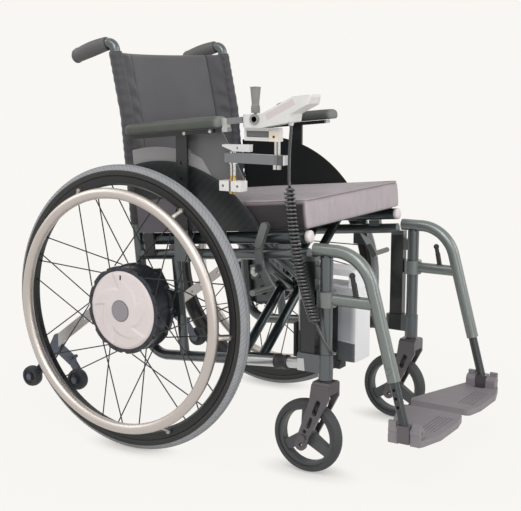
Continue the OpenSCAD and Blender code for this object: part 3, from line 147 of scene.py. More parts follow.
class Finish:
    """A material whose nodes are added by name."""

    def __init__(self, name, color, rough, metal=0.0, **constants):
        self.material = bpy.data.materials.new(name)
        self.material.use_nodes = True
        self.tree = self.material.node_tree
        self.shader = self.tree.nodes["Principled BSDF"]
        self.place = self.add("ShaderNodeTexCoord", {}, {}, "Object")
        self.color = tone(color)
        self.tint = self.color
        self.put("Base Color", self.color)
        self.put("Roughness", rough)
        self.put("Metallic", metal)
        for key, value in constants.items():
            self.put(key.replace("_", " ").title(), value)

    def put(self, socket, value):
        self.plug(self.shader.inputs[socket], value)

    def plug(self, socket, value):
        if isinstance(value, Value):
            self.tree.links.new(value.socket, socket)
        else:
            socket.default_value = value

    def add(self, kind, settings, links, out=0):
        node = self.tree.nodes.new(kind)
        for key, value in settings.items():
            setattr(node, key, value)
        for key, value in links.items():
            self.plug(node.inputs[key], value)
        return Value(self, node.outputs[out])

    def axis(self, letter):
        return self.add("ShaderNodeSeparateXYZ", {}, {"Vector": self.place}, letter)

    def sloped(self):
        """The surface's places along and square to the sloping seat, from the rear axle, in metres."""
        c, s = math.cos(TILT), math.sin(TILT)
        x, z = self.axis("X") - AXLE_X / 1000, self.axis("Z") - AXLE_Z / 1000
        return x * c + z * s, z * c - x * s

    def noise(self, scale, detail=3.0, stretch=None):
        where = self.place
        if stretch:
            where = self.add("ShaderNodeMapping", {}, {"Vector": where, "Scale": stretch})
        return self.add("ShaderNodeTexNoise", {}, {"Vector": where, "Scale": scale, "Detail": detail})

    def from_spot(self, spot, keep=(1, 1, 1)):
        """Distance of the surface from a spot, along the axes that keep says."""
        moved = self.add("ShaderNodeVectorMath", {"operation": "SUBTRACT"}, {0: self.place, 1: tuple(spot)})
        kept = self.add("ShaderNodeVectorMath", {"operation": "MULTIPLY"}, {0: moved, 1: keep})
        return self.add("ShaderNodeVectorMath", {"operation": "LENGTH"}, {0: kept}, "Value")

    def blend(self, share, first, second):
        return self.add("ShaderNodeMix", {"data_type": "RGBA"}, {0: share, 6: first, 7: second}, 2)

    def coat(self, *layers):
        """Paints each (share, colour) over the finish's tint, in turn."""
        for share, color in layers:
            self.tint = self.blend(share, self.tint, tone(color))
        self.put("Base Color", self.tint)

    def mottle(self, share, factor):
        """Blends the finish's colour by share towards factor times itself."""
        self.tint = self.blend(share, self.color, tuple(c * factor for c in self.color[:3]) + (1.0,))
        self.put("Base Color", self.tint)

    def bump(self, height, strength, depth=0.001):
        links = {"Height": height, "Strength": strength, "Distance": depth}
        self.put("Normal", self.add("ShaderNodeBump", {}, links))


def painted(name, color, rough, metal=0.0, coat=0.0, grain=900.0):
    """Paint with a fine orange-peel surface and a little dust in its tone."""
    f = Finish(name, color, rough, metal, coat_weight=coat, coat_roughness=0.12)
    dust = f.noise(14.0, 4.0).step(0.42, 0.75)
    fine = f.noise(grain, 2.0)
    f.mottle(dust * 0.05 + fine * 0.05, 0.6)
    f.put("Roughness", dust * 0.04 + fine * 0.05 + (rough - 0.04))
    f.bump(fine, 0.02, 0.0004)
    return f


def moulded(name, color, rough, grain=700.0, depth=0.10):
    """Moulded plastic with a fine spark-eroded grain."""
    f = Finish(name, color, rough)
    fine = f.noise(grain, 3.0)
    broad = f.noise(20.0, 2.0)
    f.mottle(broad.step(0.35, 0.7) * 0.12, 0.6)
    f.put("Roughness", fine * 0.14 + (rough - 0.07))
    f.bump(fine, depth, 0.0005)
    return f


def metal(name, color, rough, scale=400.0):
    """Bare metal with a brushed or turned grain."""
    f = Finish(name, color, rough, 1.0)
    grain = f.noise(scale, 3.0)
    smear = f.noise(22.0, 3.0)
    f.mottle(smear.step(0.4, 0.8) * 0.2, 0.7)
    f.put("Roughness", grain * 0.16 + smear * 0.08 + (rough - 0.1))
    f.bump(grain, 0.05, 0.0003)
    return f


# Finishes of the rigid pieces
cane_paint = painted("cane_paint", "#5a6061", 0.3, 0.75, 0.5)
brace_paint = painted("brace_paint", "#3c4447", 0.3, 0.7, 0.5)
hanger_paint = painted("hanger_paint", "#747a78", 0.36, 0.6, 0.5)
fork_paint = painted("fork_paint", "#575357", 0.42, 0.3, 0.2)
brake_paint = painted("brake_paint", "#6a6e6c", 0.42, 0.4, 0.2)
rim_black = painted("rim_black", "#1c1c1e", 0.38, 0.3, 0.2)
hub_black = painted("hub_black", "#33353d", 0.4, 0.5, 0.25, 500.0)
soft_black = moulded("soft_black", "#242424", 0.55)
plate_grey = moulded("plate_grey", "#837e82", 0.55, 500.0, 0.16)
holder_black = moulded("holder_black", "#2e3033", 0.5)
stick_grey = moulded("stick_grey", "#858583", 0.5)
key_grey = moulded("key_grey", "#6d6c6c", 0.5)
lever_white = moulded("lever_white", "#d6d5d4", 0.42)
bright_metal = metal("bright_metal", "#cfcdca", 0.28)
cap_white = moulded("cap_white", "#e4dcdb", 0.45)
roller_rubber = moulded("roller_rubber", "#2b2d31", 0.6)


def side_frame_paint():
    """Frame paint, with a black front upright and the bare adjusting tube behind it."""
    f = painted("frame_paint", "#5c6163", 0.3, 0.75, 0.5)
    along, up = f.sloped()
    x, y = f.axis("X"), f.axis("Y")
    bare = along.between(0.236, 0.3736) * up.between(-0.1275, -0.1025) * y.size().over(0.1885)
    upright = x.between(0.2290, 0.2600) * up.between(-0.130, 0.0885) * y.size().under(0.2087)
    f.coat((bare, "#bfc0c1"), (upright, "#2f3132"))
    return f


def foot_tube_finish():
    """Dark tube in a clamp of the footplate's grey."""
    f = painted("foot_tube_paint", "#3a3e40", 0.34, 0.55, 0.3)
    f.coat((f.axis("Z").under(FOOT_CLAMP_TOP / 1000), "#605c60"))
    return f


def handrim_finish():
    """Satin handrim with duller clips behind it."""
    f = metal("handrim_steel", "#c6bfba", 0.42, 300.0)
    f.coat((f.axis("Y").size().under(0.3116), "#aba7a4"))
    return f


# How far out the faces of the guard's grey panels are, in metres
GUARD_BAND_Y = 0.21080
GUARD_TALL_Y = 0.21112


def guard_finish(side):
    """Ribbed carbon out to a round rim with a painted highlight band along it, and inner panels that are grey
    on the right side alone.
    """
    f = Finish(side + "_guard", "#0c0e0f", 0.45, 0.0, coat_weight=0.12, coat_roughness=0.3)
    x, y, z = f.axis("X"), f.axis("Y").size(), f.axis("Z")
    up = f.sloped()[1]
    ribs = ((x + z).wave(1000.0) + (x - z).wave(320.0) * 0.4).step(-0.1, 0.5)
    out = f.from_spot(slope(52, 0, 22), (1, 0, 1))
    # rim: a lighter band along the round edge, a painted highlight
    rim = out.between(0.2735, 0.2790)
    inner = up.over(0.149) * out.under(0.198)
    band = y.under(GUARD_BAND_Y)
    tall = y.between(GUARD_BAND_Y, GUARD_TALL_Y)
    tones = ("#635d65", "#9c999a", "#666769") if side == "right" else ("#141718", "#101314", "#101314")
    f.coat((ribs * 0.75, "#34383a"), (rim * 0.5, "#303436"), *zip((inner, band, tall), tones))
    f.put("Roughness", ribs * 0.1 + 0.36)
    f.bump(ribs, 0.15, 0.0004)
    return f


def caster_finish():
    """Solid rubber tyre over a moulded three-spoke wheel."""
    f = Finish("caster_tread", "#47494b", 0.5)
    rubber = f.from_spot(place(CASTER_X, 0, CASTER_Z), (1, 0, 1)).step(0.0608, 0.0612)
    fine = f.noise(650.0, 3.0)
    f.coat((rubber, "#3a3b3d"))
    f.put("Roughness", rubber * 0.22 + fine * 0.1 + 0.4)
    f.bump(fine, 0.12, 0.0005)
    return f


def arm_post_finish(side):
    """Dark post and rail with a pale front end; on the right a grey bar runs on ahead of it."""
    f = painted(side + "_arm_post", "#2e3031", 0.38, 0.4, 0.2)
    along, up = f.sloped()
    if side == "right":
        f.coat((along.between(0.2415, 0.2546), "#b9b8b6"), (along.over(0.2546), "#7d7e80"))
    else:
        f.coat((along.over(0.2185) * up.over(0.346), "#c4c4c2"))
    return f


def battery_finish():
    """Pale case with a grey panel and a darker sloping foot on its outer side."""
    f = Finish("battery_shell", "#eeedef", 0.45)
    x, y, z = f.axis("X"), f.axis("Y"), f.axis("Z")
    side = y.under(-0.1276) * z.under(0.3660)
    panel = side * x.between(0.1858, 0.2972) * z.over(0.2578) * y.over(-0.1292)
    foot = side * (x * 0.095 + z).under(0.2825)
    fine = f.noise(800.0, 3.0)
    f.coat((fine.step(0.4, 0.7) * 0.3, "#e2e1e4"), (side, "#cacbcf"), (panel, "#bcbdc2"), (foot, "#5c5e62"))
    f.put("Roughness", fine * 0.12 + 0.4)
    f.bump(fine, 0.1, 0.0005)
    return f


def tipper_finish():
    """Pale bar with a blue-grey wishbone."""
    f = Finish("tipper_paint", "#c0bcba", 0.4, 0.4)
    fine = f.noise(700.0, 2.0)
    x, z = f.axis("X"), f.axis("Z")
    wishbone = (x * 0.73 - z).over(-0.4605) * z.under(0.2) + x.under(-0.4)
    f.coat((fine * 0.3, "#b2aeac"), (wishbone.math("MINIMUM", wishbone, 1.0), "#5a5f6b"))
    f.put("Roughness", fine * 0.12 + 0.34)
    f.bump(fine, 0.06, 0.0004)
    return f


def control_arm_finish():
    """Grey bar with a dark and a pale end, steel rods with a painted shade line down their camera-facing
    side, and a white slotted bracket with a cream block.
    """
    f = Finish("control_arm_grey", "#d3d1cf", 0.36)
    x, y, z = f.axis("X"), f.axis("Y") + ARM_Y / 1000, f.axis("Z")
    bar = z.between(0.6108, 0.6292)
    bracket = z.over(0.6547)
    block = bracket * x.over(0.1717) * z.under(0.6753) * y.size().over(0.0062)
    # A dark line down the rods' side that faces the camera: painted shade standing in for the gap between two
    # rods
    shade_line = (x - 0.1891).size().under(0.0014) * y.under(0.0)
    fine = f.noise(800.0, 3.0)
    f.coat((fine * 0.2, "#b9b7b5"), (bar, "#747678"), (bar * x.over(0.1865), "#505153"),
           (bar * x.over(0.2050), "#dddcdb"), (shade_line, "#77777a"), (bracket, "#dbd9d7"), (block, "#e6d9c8"))
    f.put("Metallic", (1 - bar) * (1 - bracket))
    f.put("Roughness", bar * 0.14 + fine * 0.1 + 0.24)
    f.bump(fine, 0.06, 0.0004)
    return f


def control_clamp_finish():
    """White clamp block on a steel pin with a painted shade line down its camera-facing side, with a brass
    bush above it and a brass nut below.
    """
    f = Finish("control_clamp_white", "#d3d1cf", 0.36)
    x, y, z = f.axis("X"), f.axis("Y") + ARM_Y / 1000, f.axis("Z")
    block = z.between(0.5548, 0.5752)
    brass = z.under(0.5548) + z.between(0.5752, 0.5850)
    slit = block * (x - 0.084).size().under(0.0022)
    # A dark line down the pin's side that faces the camera: painted shade
    shade_line = (x - 0.0871).size().under(0.0014) * y.under(0.0)
    fine = f.noise(800.0, 3.0)
    f.coat((fine * 0.2, "#b9b7b5"), (brass, "#c8a566"), (shade_line, "#6f6e6c"), (block, "#e3dfdd"),
           (slit, "#6a6058"))
    f.put("Metallic", 1 - block)
    f.put("Roughness", block * 0.16 + fine * 0.1 + 0.22)
    f.bump(fine, 0.06, 0.0004)
    return f


def housing_finish():
    """White housing with a rosy-grey inlay along its sloped sides and a grey charging socket."""
    f = moulded("housing_white", "#d8d6d4", 0.4, 800.0, 0.06)
    lean = math.atan2(33, 68)
    x, y, z = f.axis("X") - 0.165, f.axis("Y"), f.axis("Z") - 0.708
    along = x * math.cos(lean) + z * math.sin(lean)
    up = z * math.cos(lean) - x * math.sin(lean)
    inlay = along.between(0.006, 0.074) * up.between(-0.0165, -0.0040)
    socket = f.from_spot((0.150, 0, 0.697), (1, 0, 1))
    boss = y.under(-0.2506) * socket.under(0.0103)
    f.coat((inlay, "#cbc1c1"), (boss, "#8a8886"), (socket.under(0.0056) * y.under(-0.240), "#141414"))
    return f


def wear(finish, *names):
    for name in names:
        NODE[name].data.materials.clear()
        NODE[name].data.materials.append(finish.material)


frame_paint = side_frame_paint()
handrim_steel = handrim_finish()
foot_tube_paint = foot_tube_finish()
caster_tread = caster_finish()
tipper_paint = tipper_finish()
for side in SIDES:
    pre = side + "_"
    wear(frame_paint, pre + "side_frame")
    wear(cane_paint, pre + "back_cane")
    wear(rim_black, pre + "rim")
    wear(handrim_steel, pre + "handrim")
    wear(hub_black, pre + "hub_shell")
    wear(bright_metal, pre + "motor_stator")
    wear(fork_paint, pre + "caster_fork")
    wear(foot_tube_paint, pre + "foot_tube")
    wear(brake_paint, pre + "brake_lever")
    wear(arm_post_finish(side), pre + "arm_post")
    wear(caster_tread, pre + "caster_wheel")
    wear(hanger_paint, pre + "hanger")
    wear(soft_black, pre + "hanger_lever")
    wear(plate_grey, pre + "footplate")
    wear(guard_finish(side), pre + "skirt_guard")
    wear(tipper_paint, pre + "antitip_arm")
    wear(roller_rubber, pre + "antitip_rear_roller", pre + "antitip_front_roller")
wear(brace_paint, "cross_arm_a", "cross_arm_b")
wear(bright_metal, "cross_bolt", "joystick_gimbal")
wear(control_clamp_finish(), "control_clamp")
wear(control_arm_finish(), "control_arm")
wear(lever_white, "control_lever")
wear(housing_finish(), "control_housing")
wear(key_grey, "control_keys")
wear(stick_grey, "joystick")
wear(holder_black, "battery_holder")
wear(battery_finish(), "battery_pack")


# Mesh making
def shaped_mesh(name, points, faces, smooth, join):
    """A mesh with doubles merged and faces pointing out."""
    mesh = bpy.data.meshes.new(name)
    mesh.from_pydata([tuple(p) for p in points], [], faces)
    shape = bmesh.new()
    shape.from_mesh(mesh)
    bmesh.ops.remove_doubles(shape, verts=shape.verts, dist=join)
    bmesh.ops.recalc_face_normals(shape, faces=shape.faces)
    shape.to_mesh(mesh)
    shape.free()
    mesh.polygons.foreach_set("use_smooth", [smooth] * len(mesh.polygons))
    return mesh


def put_in_scene(name, mesh, body=None):
    made = bpy.data.objects.new(name, mesh)
    bpy.context.scene.collection.objects.link(made)
    if body:
        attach(made, body)
    return made


def piece(name, points, faces, finish, body=None, smooth=True):
    mesh = shaped_mesh(name, points, faces, smooth, 1e-6)
    mesh.materials.append(finish.material)
    return put_in_scene(name, mesh, body)


def skin(rings, around=True, along=False, caps=True):
    """Faces over rings of equally many points. Around closes each ring; along joins the last to the first."""
    n = len(rings[0])
    points = [p for ring in rings for p in ring]
    faces = []
    for r in range(len(rings) if along else len(rings) - 1):
        after = (r + 1) % len(rings)
        for i in range(n if around else n - 1):
            j = (i + 1) % n
            faces.append((r * n + i, r * n + j, after * n + j, after * n + i))
    if caps and not along:
        faces.append(tuple(range(n)))
        faces.append(tuple(range((len(rings) - 1) * n, len(rings) * n)))
    return points, faces


def turns(count, start=0.0):
    """Angles of count equal steps round a circle."""
    return [start + 2 * math.pi * i / count for i in range(count)]


def tube_rings(path, radius, sides):
    """Rings round a path, carried along it without twisting."""
    rings = []
    up = Vector((0.3, 0.8, 0.2))
    for i, p in enumerate(path):
        ahead = (path[min(i + 1, len(path) - 1)] - path[max(i - 1, 0)]).normalized()
        up = (up - ahead * up.dot(ahead)).normalized()
        out = ahead.cross(up)
        rings.append([p + (up * math.cos(a) + out * math.sin(a)) * radius for a in turns(sides)])
    return rings


def chamfered_block(low, high, cut):
    """Rings of a block from low to high along y, with all its edges cut."""
    rings = []
    for y, inset in ((low[1], cut), (low[1] + cut, 0.0), (high[1] - cut, 0.0), (high[1], cut)):
        a, b, c, d = low[0] + inset, high[0] - inset, low[2] + inset, high[2] - inset
        rings.append([place(x, y, z) for x, z in ((a + cut, c), (b - cut, c), (b, c + cut), (b, d - cut),
                                                  (b - cut, d), (a + cut, d), (a, d - cut), (a, c + cut))])
    return rings


# Control cord: straight lead, curls and lower lead, on the same route as its solid
CORD_D = 5.6
CURLS = 38
CURL_R = 8.0
CURL_STEPS = 20
LEAD_STEPS = 6
top_lead = [(360, -228, 685.7), (360, -228, 677), (357, -228, 640), (356, -228, 590)]
curl_a, curl_b, curl_c = Vector((357, -228, 572)), Vector((368, -229, 420)), Vector((418, -229, 312))
low_lead = [(426, -228, 296), (436, -226, 276), (444, -216, 258), (444, -200, 250), (436, -180, 247),
            (424, -164, 246), (410, -154, 246), (404, -146, 246), (404, -138.3, 246)]


def smooth_path(points, steps):
    """A round curve through points, with steps between each pair."""
    pts = [Vector(p) for p in points]
    pts = [pts[0] * 2 - pts[1]] + pts + [pts[-1] * 2 - pts[-2]]
    made = []
    for i in range(1, len(pts) - 2):
        a, b, c, d = pts[i - 1:i + 3]
        for k in range(steps):
            t = k / steps
            made.append(0.5 * (2 * b + (c - a) * t + (2 * a - 5 * b + 4 * c - d) * t * t
                               + (3 * b - a - 3 * c + d) * t ** 3))
    return made + [pts[-2]]


def curl_points(per_turn):
    """Points of a helix round a bent middle line, growing over its first turn and shrinking over its last."""
    total = CURLS * per_turn
    for i in range(total + 1):
        t = i / total
        a = 2 * math.pi * i / per_turn
        r = CURL_R * min(1.0, i / per_turn, (total - i) / per_turn)
        mid = curl_a * (1 - t) ** 2 + curl_b * (2 * t * (1 - t)) + curl_c * t * t
        yield mid + Vector((r * math.cos(a), r * math.sin(a), 0.25 * r * math.cos(a)))


curls = list(curl_points(CURL_STEPS))
upper = smooth_path(top_lead + [tuple(curls[0])], LEAD_STEPS)[:-1]
lower = smooth_path([tuple(curls[-1])] + low_lead, LEAD_STEPS)[1:]
route = [place(*p) for p in upper + curls + lower]
cord_rubber = painted("cord_rubber", "#1f2022", 0.3, 0.0, 1.0, 600.0)
cord = piece("curly_cord", *skin(tube_rings(route, CORD_D / 2000, 10)), cord_rubber)
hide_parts("control_cord")
place(400, -228, 330)
place(360, -228, 660)
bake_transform(cord)
place(*top_lead[0])


# Tyres with a treaded crown
TYRE_R = 286.0
TYRE_SECTION = 14.0
TREAD_STEP = 2.0
TREAD_SLANT = 1.6
TREAD_EDGE = 1.3
TREAD_DEPTH = 0.9
NOTCH_SHARE = 0.22
NOTCH_START = 0.22
RING_LEAN = 0.3


def tyre_finish():
    """Black side walls and a worn grey crown, with painted shade in its grooves."""
    f = Finish("tyre_rubber", "#2b2b29", 0.7)
    x, y, z = f.axis("X") - AXLE_X / 1000, f.axis("Y"), f.axis("Z") - AXLE_Z / 1000
    out = f.from_spot(place(0, 0, AXLE_Z), (1, 0, 1))
    turn = x.math("ARCTAN2", z, x)
    across = (y.size() - WHEEL_Y / 1000).size() * (1000 / TYRE_SECTION)
    lean = across.math("ARCSINE", across.math("MINIMUM", across, 0.999))
    notch = turn * (180 / math.pi / TREAD_STEP) + lean * TREAD_SLANT
    notched = notch.math("FRACT", notch).under(NOTCH_SHARE) * lean.over(NOTCH_START)
    groove = notched + (lean - RING_LEAN).size().under(0.06)
    crown = out.step(0.2885, 0.2900)
    ridge = out.between(0.2795, 0.2830)
    dust = f.noise(60.0, 4.0)
    # The crown is painted darker where the tread grooves are: painted shade in the grooves
    f.coat((ridge * 0.35, "#4b4b49"), (crown, "#9c9da0"), (crown * groove * 0.4, "#5c5e60"),
           (dust * 0.2, "#3a3a39"))
    f.put("Roughness", dust * 0.2 + 0.58)
    f.bump(f.noise(900.0, 2.0), 0.15, 0.0004)
    return f


def tread_depth(turn, lean):
    """Depth of the tread at an angle round the wheel and a lean from the crown, both in radians."""
    if abs(lean) > TREAD_EDGE:
        return 0.0
    notch = (turn * 180 / math.pi / TREAD_STEP + abs(lean) * TREAD_SLANT) % 1.0
    notched = notch < NOTCH_SHARE and abs(lean) > NOTCH_START
    if notched or abs(abs(lean) - RING_LEAN) < 0.07:
        return TREAD_DEPTH * min(1.0, (TREAD_EDGE - abs(lean)) * 6)
    return 0.0


tyre_rubber = tyre_finish()
for side, k in SIDES.items():
    rings = []
    for turn in turns(750):
        ring = []
        for lean in turns(36, -math.pi):
            r = TYRE_SECTION - tread_depth(turn, lean)
            ring.append(hub_spot(k, TYRE_R + r * math.cos(lean), turn, WHEEL_Y + r * math.sin(lean)))
        rings.append(ring)
    tyre = piece(side + "_treaded_tyre", *skin(rings, along=True), tyre_rubber, side + "_wheel")
    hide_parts(side + "_tyre")


# Hub covers with swirled petals round a plain cap
COVER_R = 82.0
COVER_EDGE = 76.0
COVER_Y = WHEEL_Y + 18.4
CAP_R = 21.5
PETALS = 5
KEY_Y = COVER_Y + 5.8
COVER_RADII = [0.5, 6, 12, 17, 20.4, 21.3, 21.6, 22.2]
COVER_RADII += [23 + 1.5 * i for i in range(36)]
COVER_RADII += [77, 78.5, 80, 81, 81.7, COVER_R]
COVER_STEPS = 300


def cover_finish():
    """Glossy white, with a grey cap in the middle and a dark line round it."""
    f = Finish("cover_white", "#e0d5d4", 0.38, 0.0, coat_weight=0.15, coat_roughness=0.25)
    out = f.from_spot(place(0, 0, AXLE_Z), (1, 0, 1))
    broad = f.noise(24.0, 3.0)
    f.coat((broad.step(0.4, 0.7) * 0.3, "#d3c8c8"), (out.under(0.0222), "#8f8c92"),
           (out.between(0.0208, 0.0228), "#6f6c70"))
    f.put("Roughness", broad * 0.1 + 0.34)
    f.bump(f.noise(900.0, 2.0), 0.05, 0.0003)
    return f


def soft_step(t):
    """0 below 0 and 1 above 1, smooth between."""
    t = max(0.0, min(1.0, t))
    return t * t * (3 - 2 * t)


def cover_height(r, a):
    """Height of the cover over the hub's face: a dome with a scoop in each petal, deepest beside one edge."""
    dome = 5.0 + 3.2 * (1 - (r / COVER_R) ** 2)
    edge = 1 - max(0.0, (r - COVER_EDGE) / (COVER_R - COVER_EDGE)) ** 2
    turn = (a / (2 * math.pi) * PETALS - 0.10 - 0.35 * (r / COVER_R)) % 1.0
    inner = 0.46 + 0.30 * turn
    scoop = soft_step((r / COVER_R - inner) / 0.09) * soft_step(turn / 0.09) * (1 - turn) ** 0.8
    cap = 1.3 if r < CAP_R else 0.0
    return (dome - 3.0 * scoop) * edge + cap


cover_white = cover_finish()
for side, k in SIDES.items():
    rings = [[hub_spot(k, r, a, COVER_Y + cover_height(r, a)) for a in turns(COVER_STEPS)]
             for r in COVER_RADII]
    rings.append([hub_spot(k, COVER_R, a, COVER_Y) for a in turns(COVER_STEPS)])
    cover = piece(side + "_swirl_cover", *skin(rings), cover_white, side + "_wheel")
    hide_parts(side + "_hub_cover")
    low_y, high_y = sorted((k * (KEY_Y - 2.5), k * KEY_Y))
    block = chamfered_block((-2.0, low_y, 362.5), (2.0, high_y, 374.0), 0.6)
    key = piece(side + "_cover_key", *skin(block), soft_black, side + "_wheel", False)


# Repeated fasteners, by one tree that sets a shape on every point of a mesh
def repeat_tree():
    tree = bpy.data.node_groups.new("set_on_points", "GeometryNodeTree")
    face = tree.interface
    given_kinds = {"Points": "Geometry", "Shape": "Object", "Size": "Float", "Finish": "Material"}
    for name, kind in given_kinds.items():
        face.new_socket(name, in_out="INPUT", socket_type="NodeSocket" + kind)
    face.new_socket("Pieces", in_out="OUTPUT", socket_type="NodeSocketGeometry")
    make = tree.nodes.new
    given = make("NodeGroupInput")
    result = make("NodeGroupOutput")
    shape = make("GeometryNodeObjectInfo")
    turn = make("GeometryNodeInputNamedAttribute")
    euler = make("FunctionNodeEulerToRotation")
    setter = make("GeometryNodeInstanceOnPoints")
    real = make("GeometryNodeRealizeInstances")
    paint = make("GeometryNodeSetMaterial")
    turn.data_type = "FLOAT_VECTOR"
    turn.inputs["Name"].default_value = "turn"
    for start, out, end, into in (
            (given, "Points", setter, "Points"), (given, "Shape", shape, "Object"),
            (shape, "Geometry", setter, "Instance"), (turn, "Attribute", euler, "Euler"),
            (euler, "Rotation", setter, "Rotation"), (given, "Size", setter, "Scale"),
            (setter, "Instances", real, "Geometry"), (real, "Geometry", paint, "Geometry"),
            (given, "Finish", paint, "Material"), (paint, "Geometry", result, "Pieces")):
        tree.links.new(start.outputs[out], end.inputs[into])
    return tree


REPEAT = repeat_tree()
INPUTS = {s.name: s.identifier for s in REPEAT.interface.items_tree if s.in_out == "INPUT"}


def repeat(name, spots, shape, finish, body, size=1.0):
    """A plain mesh with shape set at each (point, direction, roll) of spots."""
    mesh = bpy.data.meshes.new(name + "_points")
    mesh.from_pydata([tuple(p) for p, d, roll in spots], [], [])
    stand = mesh.attributes.new("turn", "FLOAT_VECTOR", "POINT")
    for mark, (p, d, roll) in zip(stand.data, spots):
        turned = Vector(d).to_track_quat("Z", "Y").to_matrix() @ Matrix.Rotation(roll, 3, "Z")
        mark.vector = turned.to_euler()
    holder = put_in_scene(name + "_points", mesh)
    modifier = holder.modifiers.new("repeat", "NODES")
    modifier.node_group = REPEAT
    modifier[INPUTS["Shape"]] = shape
    modifier[INPUTS["Size"]] = size
    modifier[INPUTS["Finish"]] = finish.material
    bpy.context.view_layer.update()
    result = bpy.data.meshes.new_from_object(holder.evaluated_get(bpy.context.evaluated_depsgraph_get()))
    bpy.data.objects.remove(holder)
    result.name = name
    put_in_scene(name, result, body)


def spun_shape(name, profile, steps):
    """A small shape spun about Z from (radius, height) in millimetres, for repeat to set."""
    rings = [[Vector((r * math.cos(a), r * math.sin(a), h)) / 1000 for r, h in profile]
             for a in turns(steps)]
    return put_in_scene(name, shaped_mesh(name, *skin(rings, around=False, along=True), True, 1e-7))


# Button-head screw with a socket, and a domed rivet, each standing on Z
SCREW_PROFILE = [(0, 1.0), (1.5, 1.0), (1.55, 2.6), (2.6, 2.5),
                 (3.6, 1.6), (4.0, 0.4), (4.0, -0.6), (0, -0.6)]
RIVET_PROFILE = [(0, 2.2), (2.0, 1.9), (3.6, 1.0), (4.4, 0.0), (4.4, -0.8), (0, -0.8)]
HEAD_STEPS = 18
HUB_SCREWS = 12
HUB_SCREW_R = 87.0
screw_head = spun_shape("screw_head", SCREW_PROFILE, HEAD_STEPS)
rivet_head = spun_shape("rivet_head", RIVET_PROFILE, HEAD_STEPS)
OUTER_FACE = {"right": Vector((0, -1, 0)), "left": Vector((0, 1, 0))}

for side, k in SIDES.items():
    out = OUTER_FACE[side]
    spots = [(hub_spot(k, HUB_SCREW_R, a, WHEEL_Y + 18), out, a)
             for a in turns(HUB_SCREWS, math.pi / HUB_SCREWS)]
    repeat(side + "_hub_screws", spots, screw_head, soft_black, side + "_wheel", 0.7)
    spots = [(slope(x, k * 218.0, z), out, 0.3) for x, z in ((-20, 62), (-20, -62), (70, 15), (70, -15))]
    repeat(side + "_plate_screws", spots, screw_head, soft_black, side + "_frame", 1.2)
    spots = [(slope(x, k * (ARM_Y + 9), 351.5), out, 0.0) for x in (150.5, 214.0)]
    repeat(side + "_rail_rivets", spots, rivet_head, cap_white, side + "_armrest", 0.9)
block_spot = (place(327, -236, 664), OUTER_FACE["right"], 0.2)
lever_spot = (place(243, -234.5, 640), OUTER_FACE["right"], 0.2)
repeat("block_screw", [block_spot], screw_head, soft_black, "control", 0.6)
repeat("lever_screw", [lever_spot], screw_head, key_grey, "control_release", 0.5)
for shape in (screw_head, rivet_head):
    bpy.data.objects.remove(shape)


# Dark slide in the control bracket's slot
block = chamfered_block((264.4, -232.5, 662.4), (315.6, -223.5, 673.6), 0.7)
slide = piece("bracket_slide", *skin(block), key_grey, "control", False)


# Ribbed boot under the control stick, running down into the cup it rocks in
profile = [(8.8, 708.0), (8.3, 709.0), (8.8, 710.0), (8.2, 711.0), (8.6, 712.0), (8.3, 712.8), (9.0, 713.4),
           (8.2, 713.4), (7.9, 710.6), (8.1, 708.0)]
rings = [[place(STICK_X + r * math.cos(a), -ARM_Y + r * math.sin(a), z) for r, z in profile]
         for a in turns(40)]
boot = piece("stick_boot", *skin(rings, along=True), stick_grey, "stick")


# Clamps on the adjusting tubes, with a ridge at each end
ADJUSTER_DROP = 115.0
CLAMP_PROFILE = [(11.2, 301), (13.9, 301.4), (14.5, 303), (14.5, 307), (13.5, 308.5),
                 (13.5, 323.5), (14.5, 325), (14.5, 329), (13.9, 330.6), (11.2, 331)]
for side, k in SIDES.items():
    rings = [[slope(x, k * FRAME_Y + r * math.cos(a), r * math.sin(a) - ADJUSTER_DROP)
              for r, x in CLAMP_PROFILE] for a in turns(40)]
    clamp = piece(side + "_tube_clamp", *skin(rings, along=True), soft_black, side + "_frame")


# Seat cushion, swollen by pressure in a cloth run
def box_shell(half_x, half_y, low, high, step):
    """A closed box of small square faces, in seat coordinates."""
    nx, ny, nz = (max(2, round(n / step)) for n in (2 * half_x, 2 * half_y, high - low))
    rings = []
    for iz in range(nz + 1):
        z = low + (high - low) * iz / nz
        ring = [(-half_x + 2 * half_x * i / nx, -half_y, z) for i in range(nx)]
        ring += [(half_x, -half_y + 2 * half_y * i / ny, z) for i in range(ny)]
        ring += [(half_x - 2 * half_x * i / nx, half_y, z) for i in range(nx)]
        ring += [(-half_x, half_y - 2 * half_y * i / ny, z) for i in range(ny)]
        rings.append(ring)
    points, faces = skin(rings, caps=False)
    for z in (low, high):
        base = len(points)
        points += [(-half_x + 2 * half_x * i / nx, -half_y + 2 * half_y * j / ny, z)
                   for j in range(ny + 1) for i in range(nx + 1)]
        for j in range(ny):
            for i in range(nx):
                a = base + j * (nx + 1) + i
                faces.append((a, a + 1, a + nx + 2, a + nx + 1))
    return points, faces


SWELL_FRAMES = 20
SWELL_PRESSURE = 4.0
SWELL_CAP = 0.004


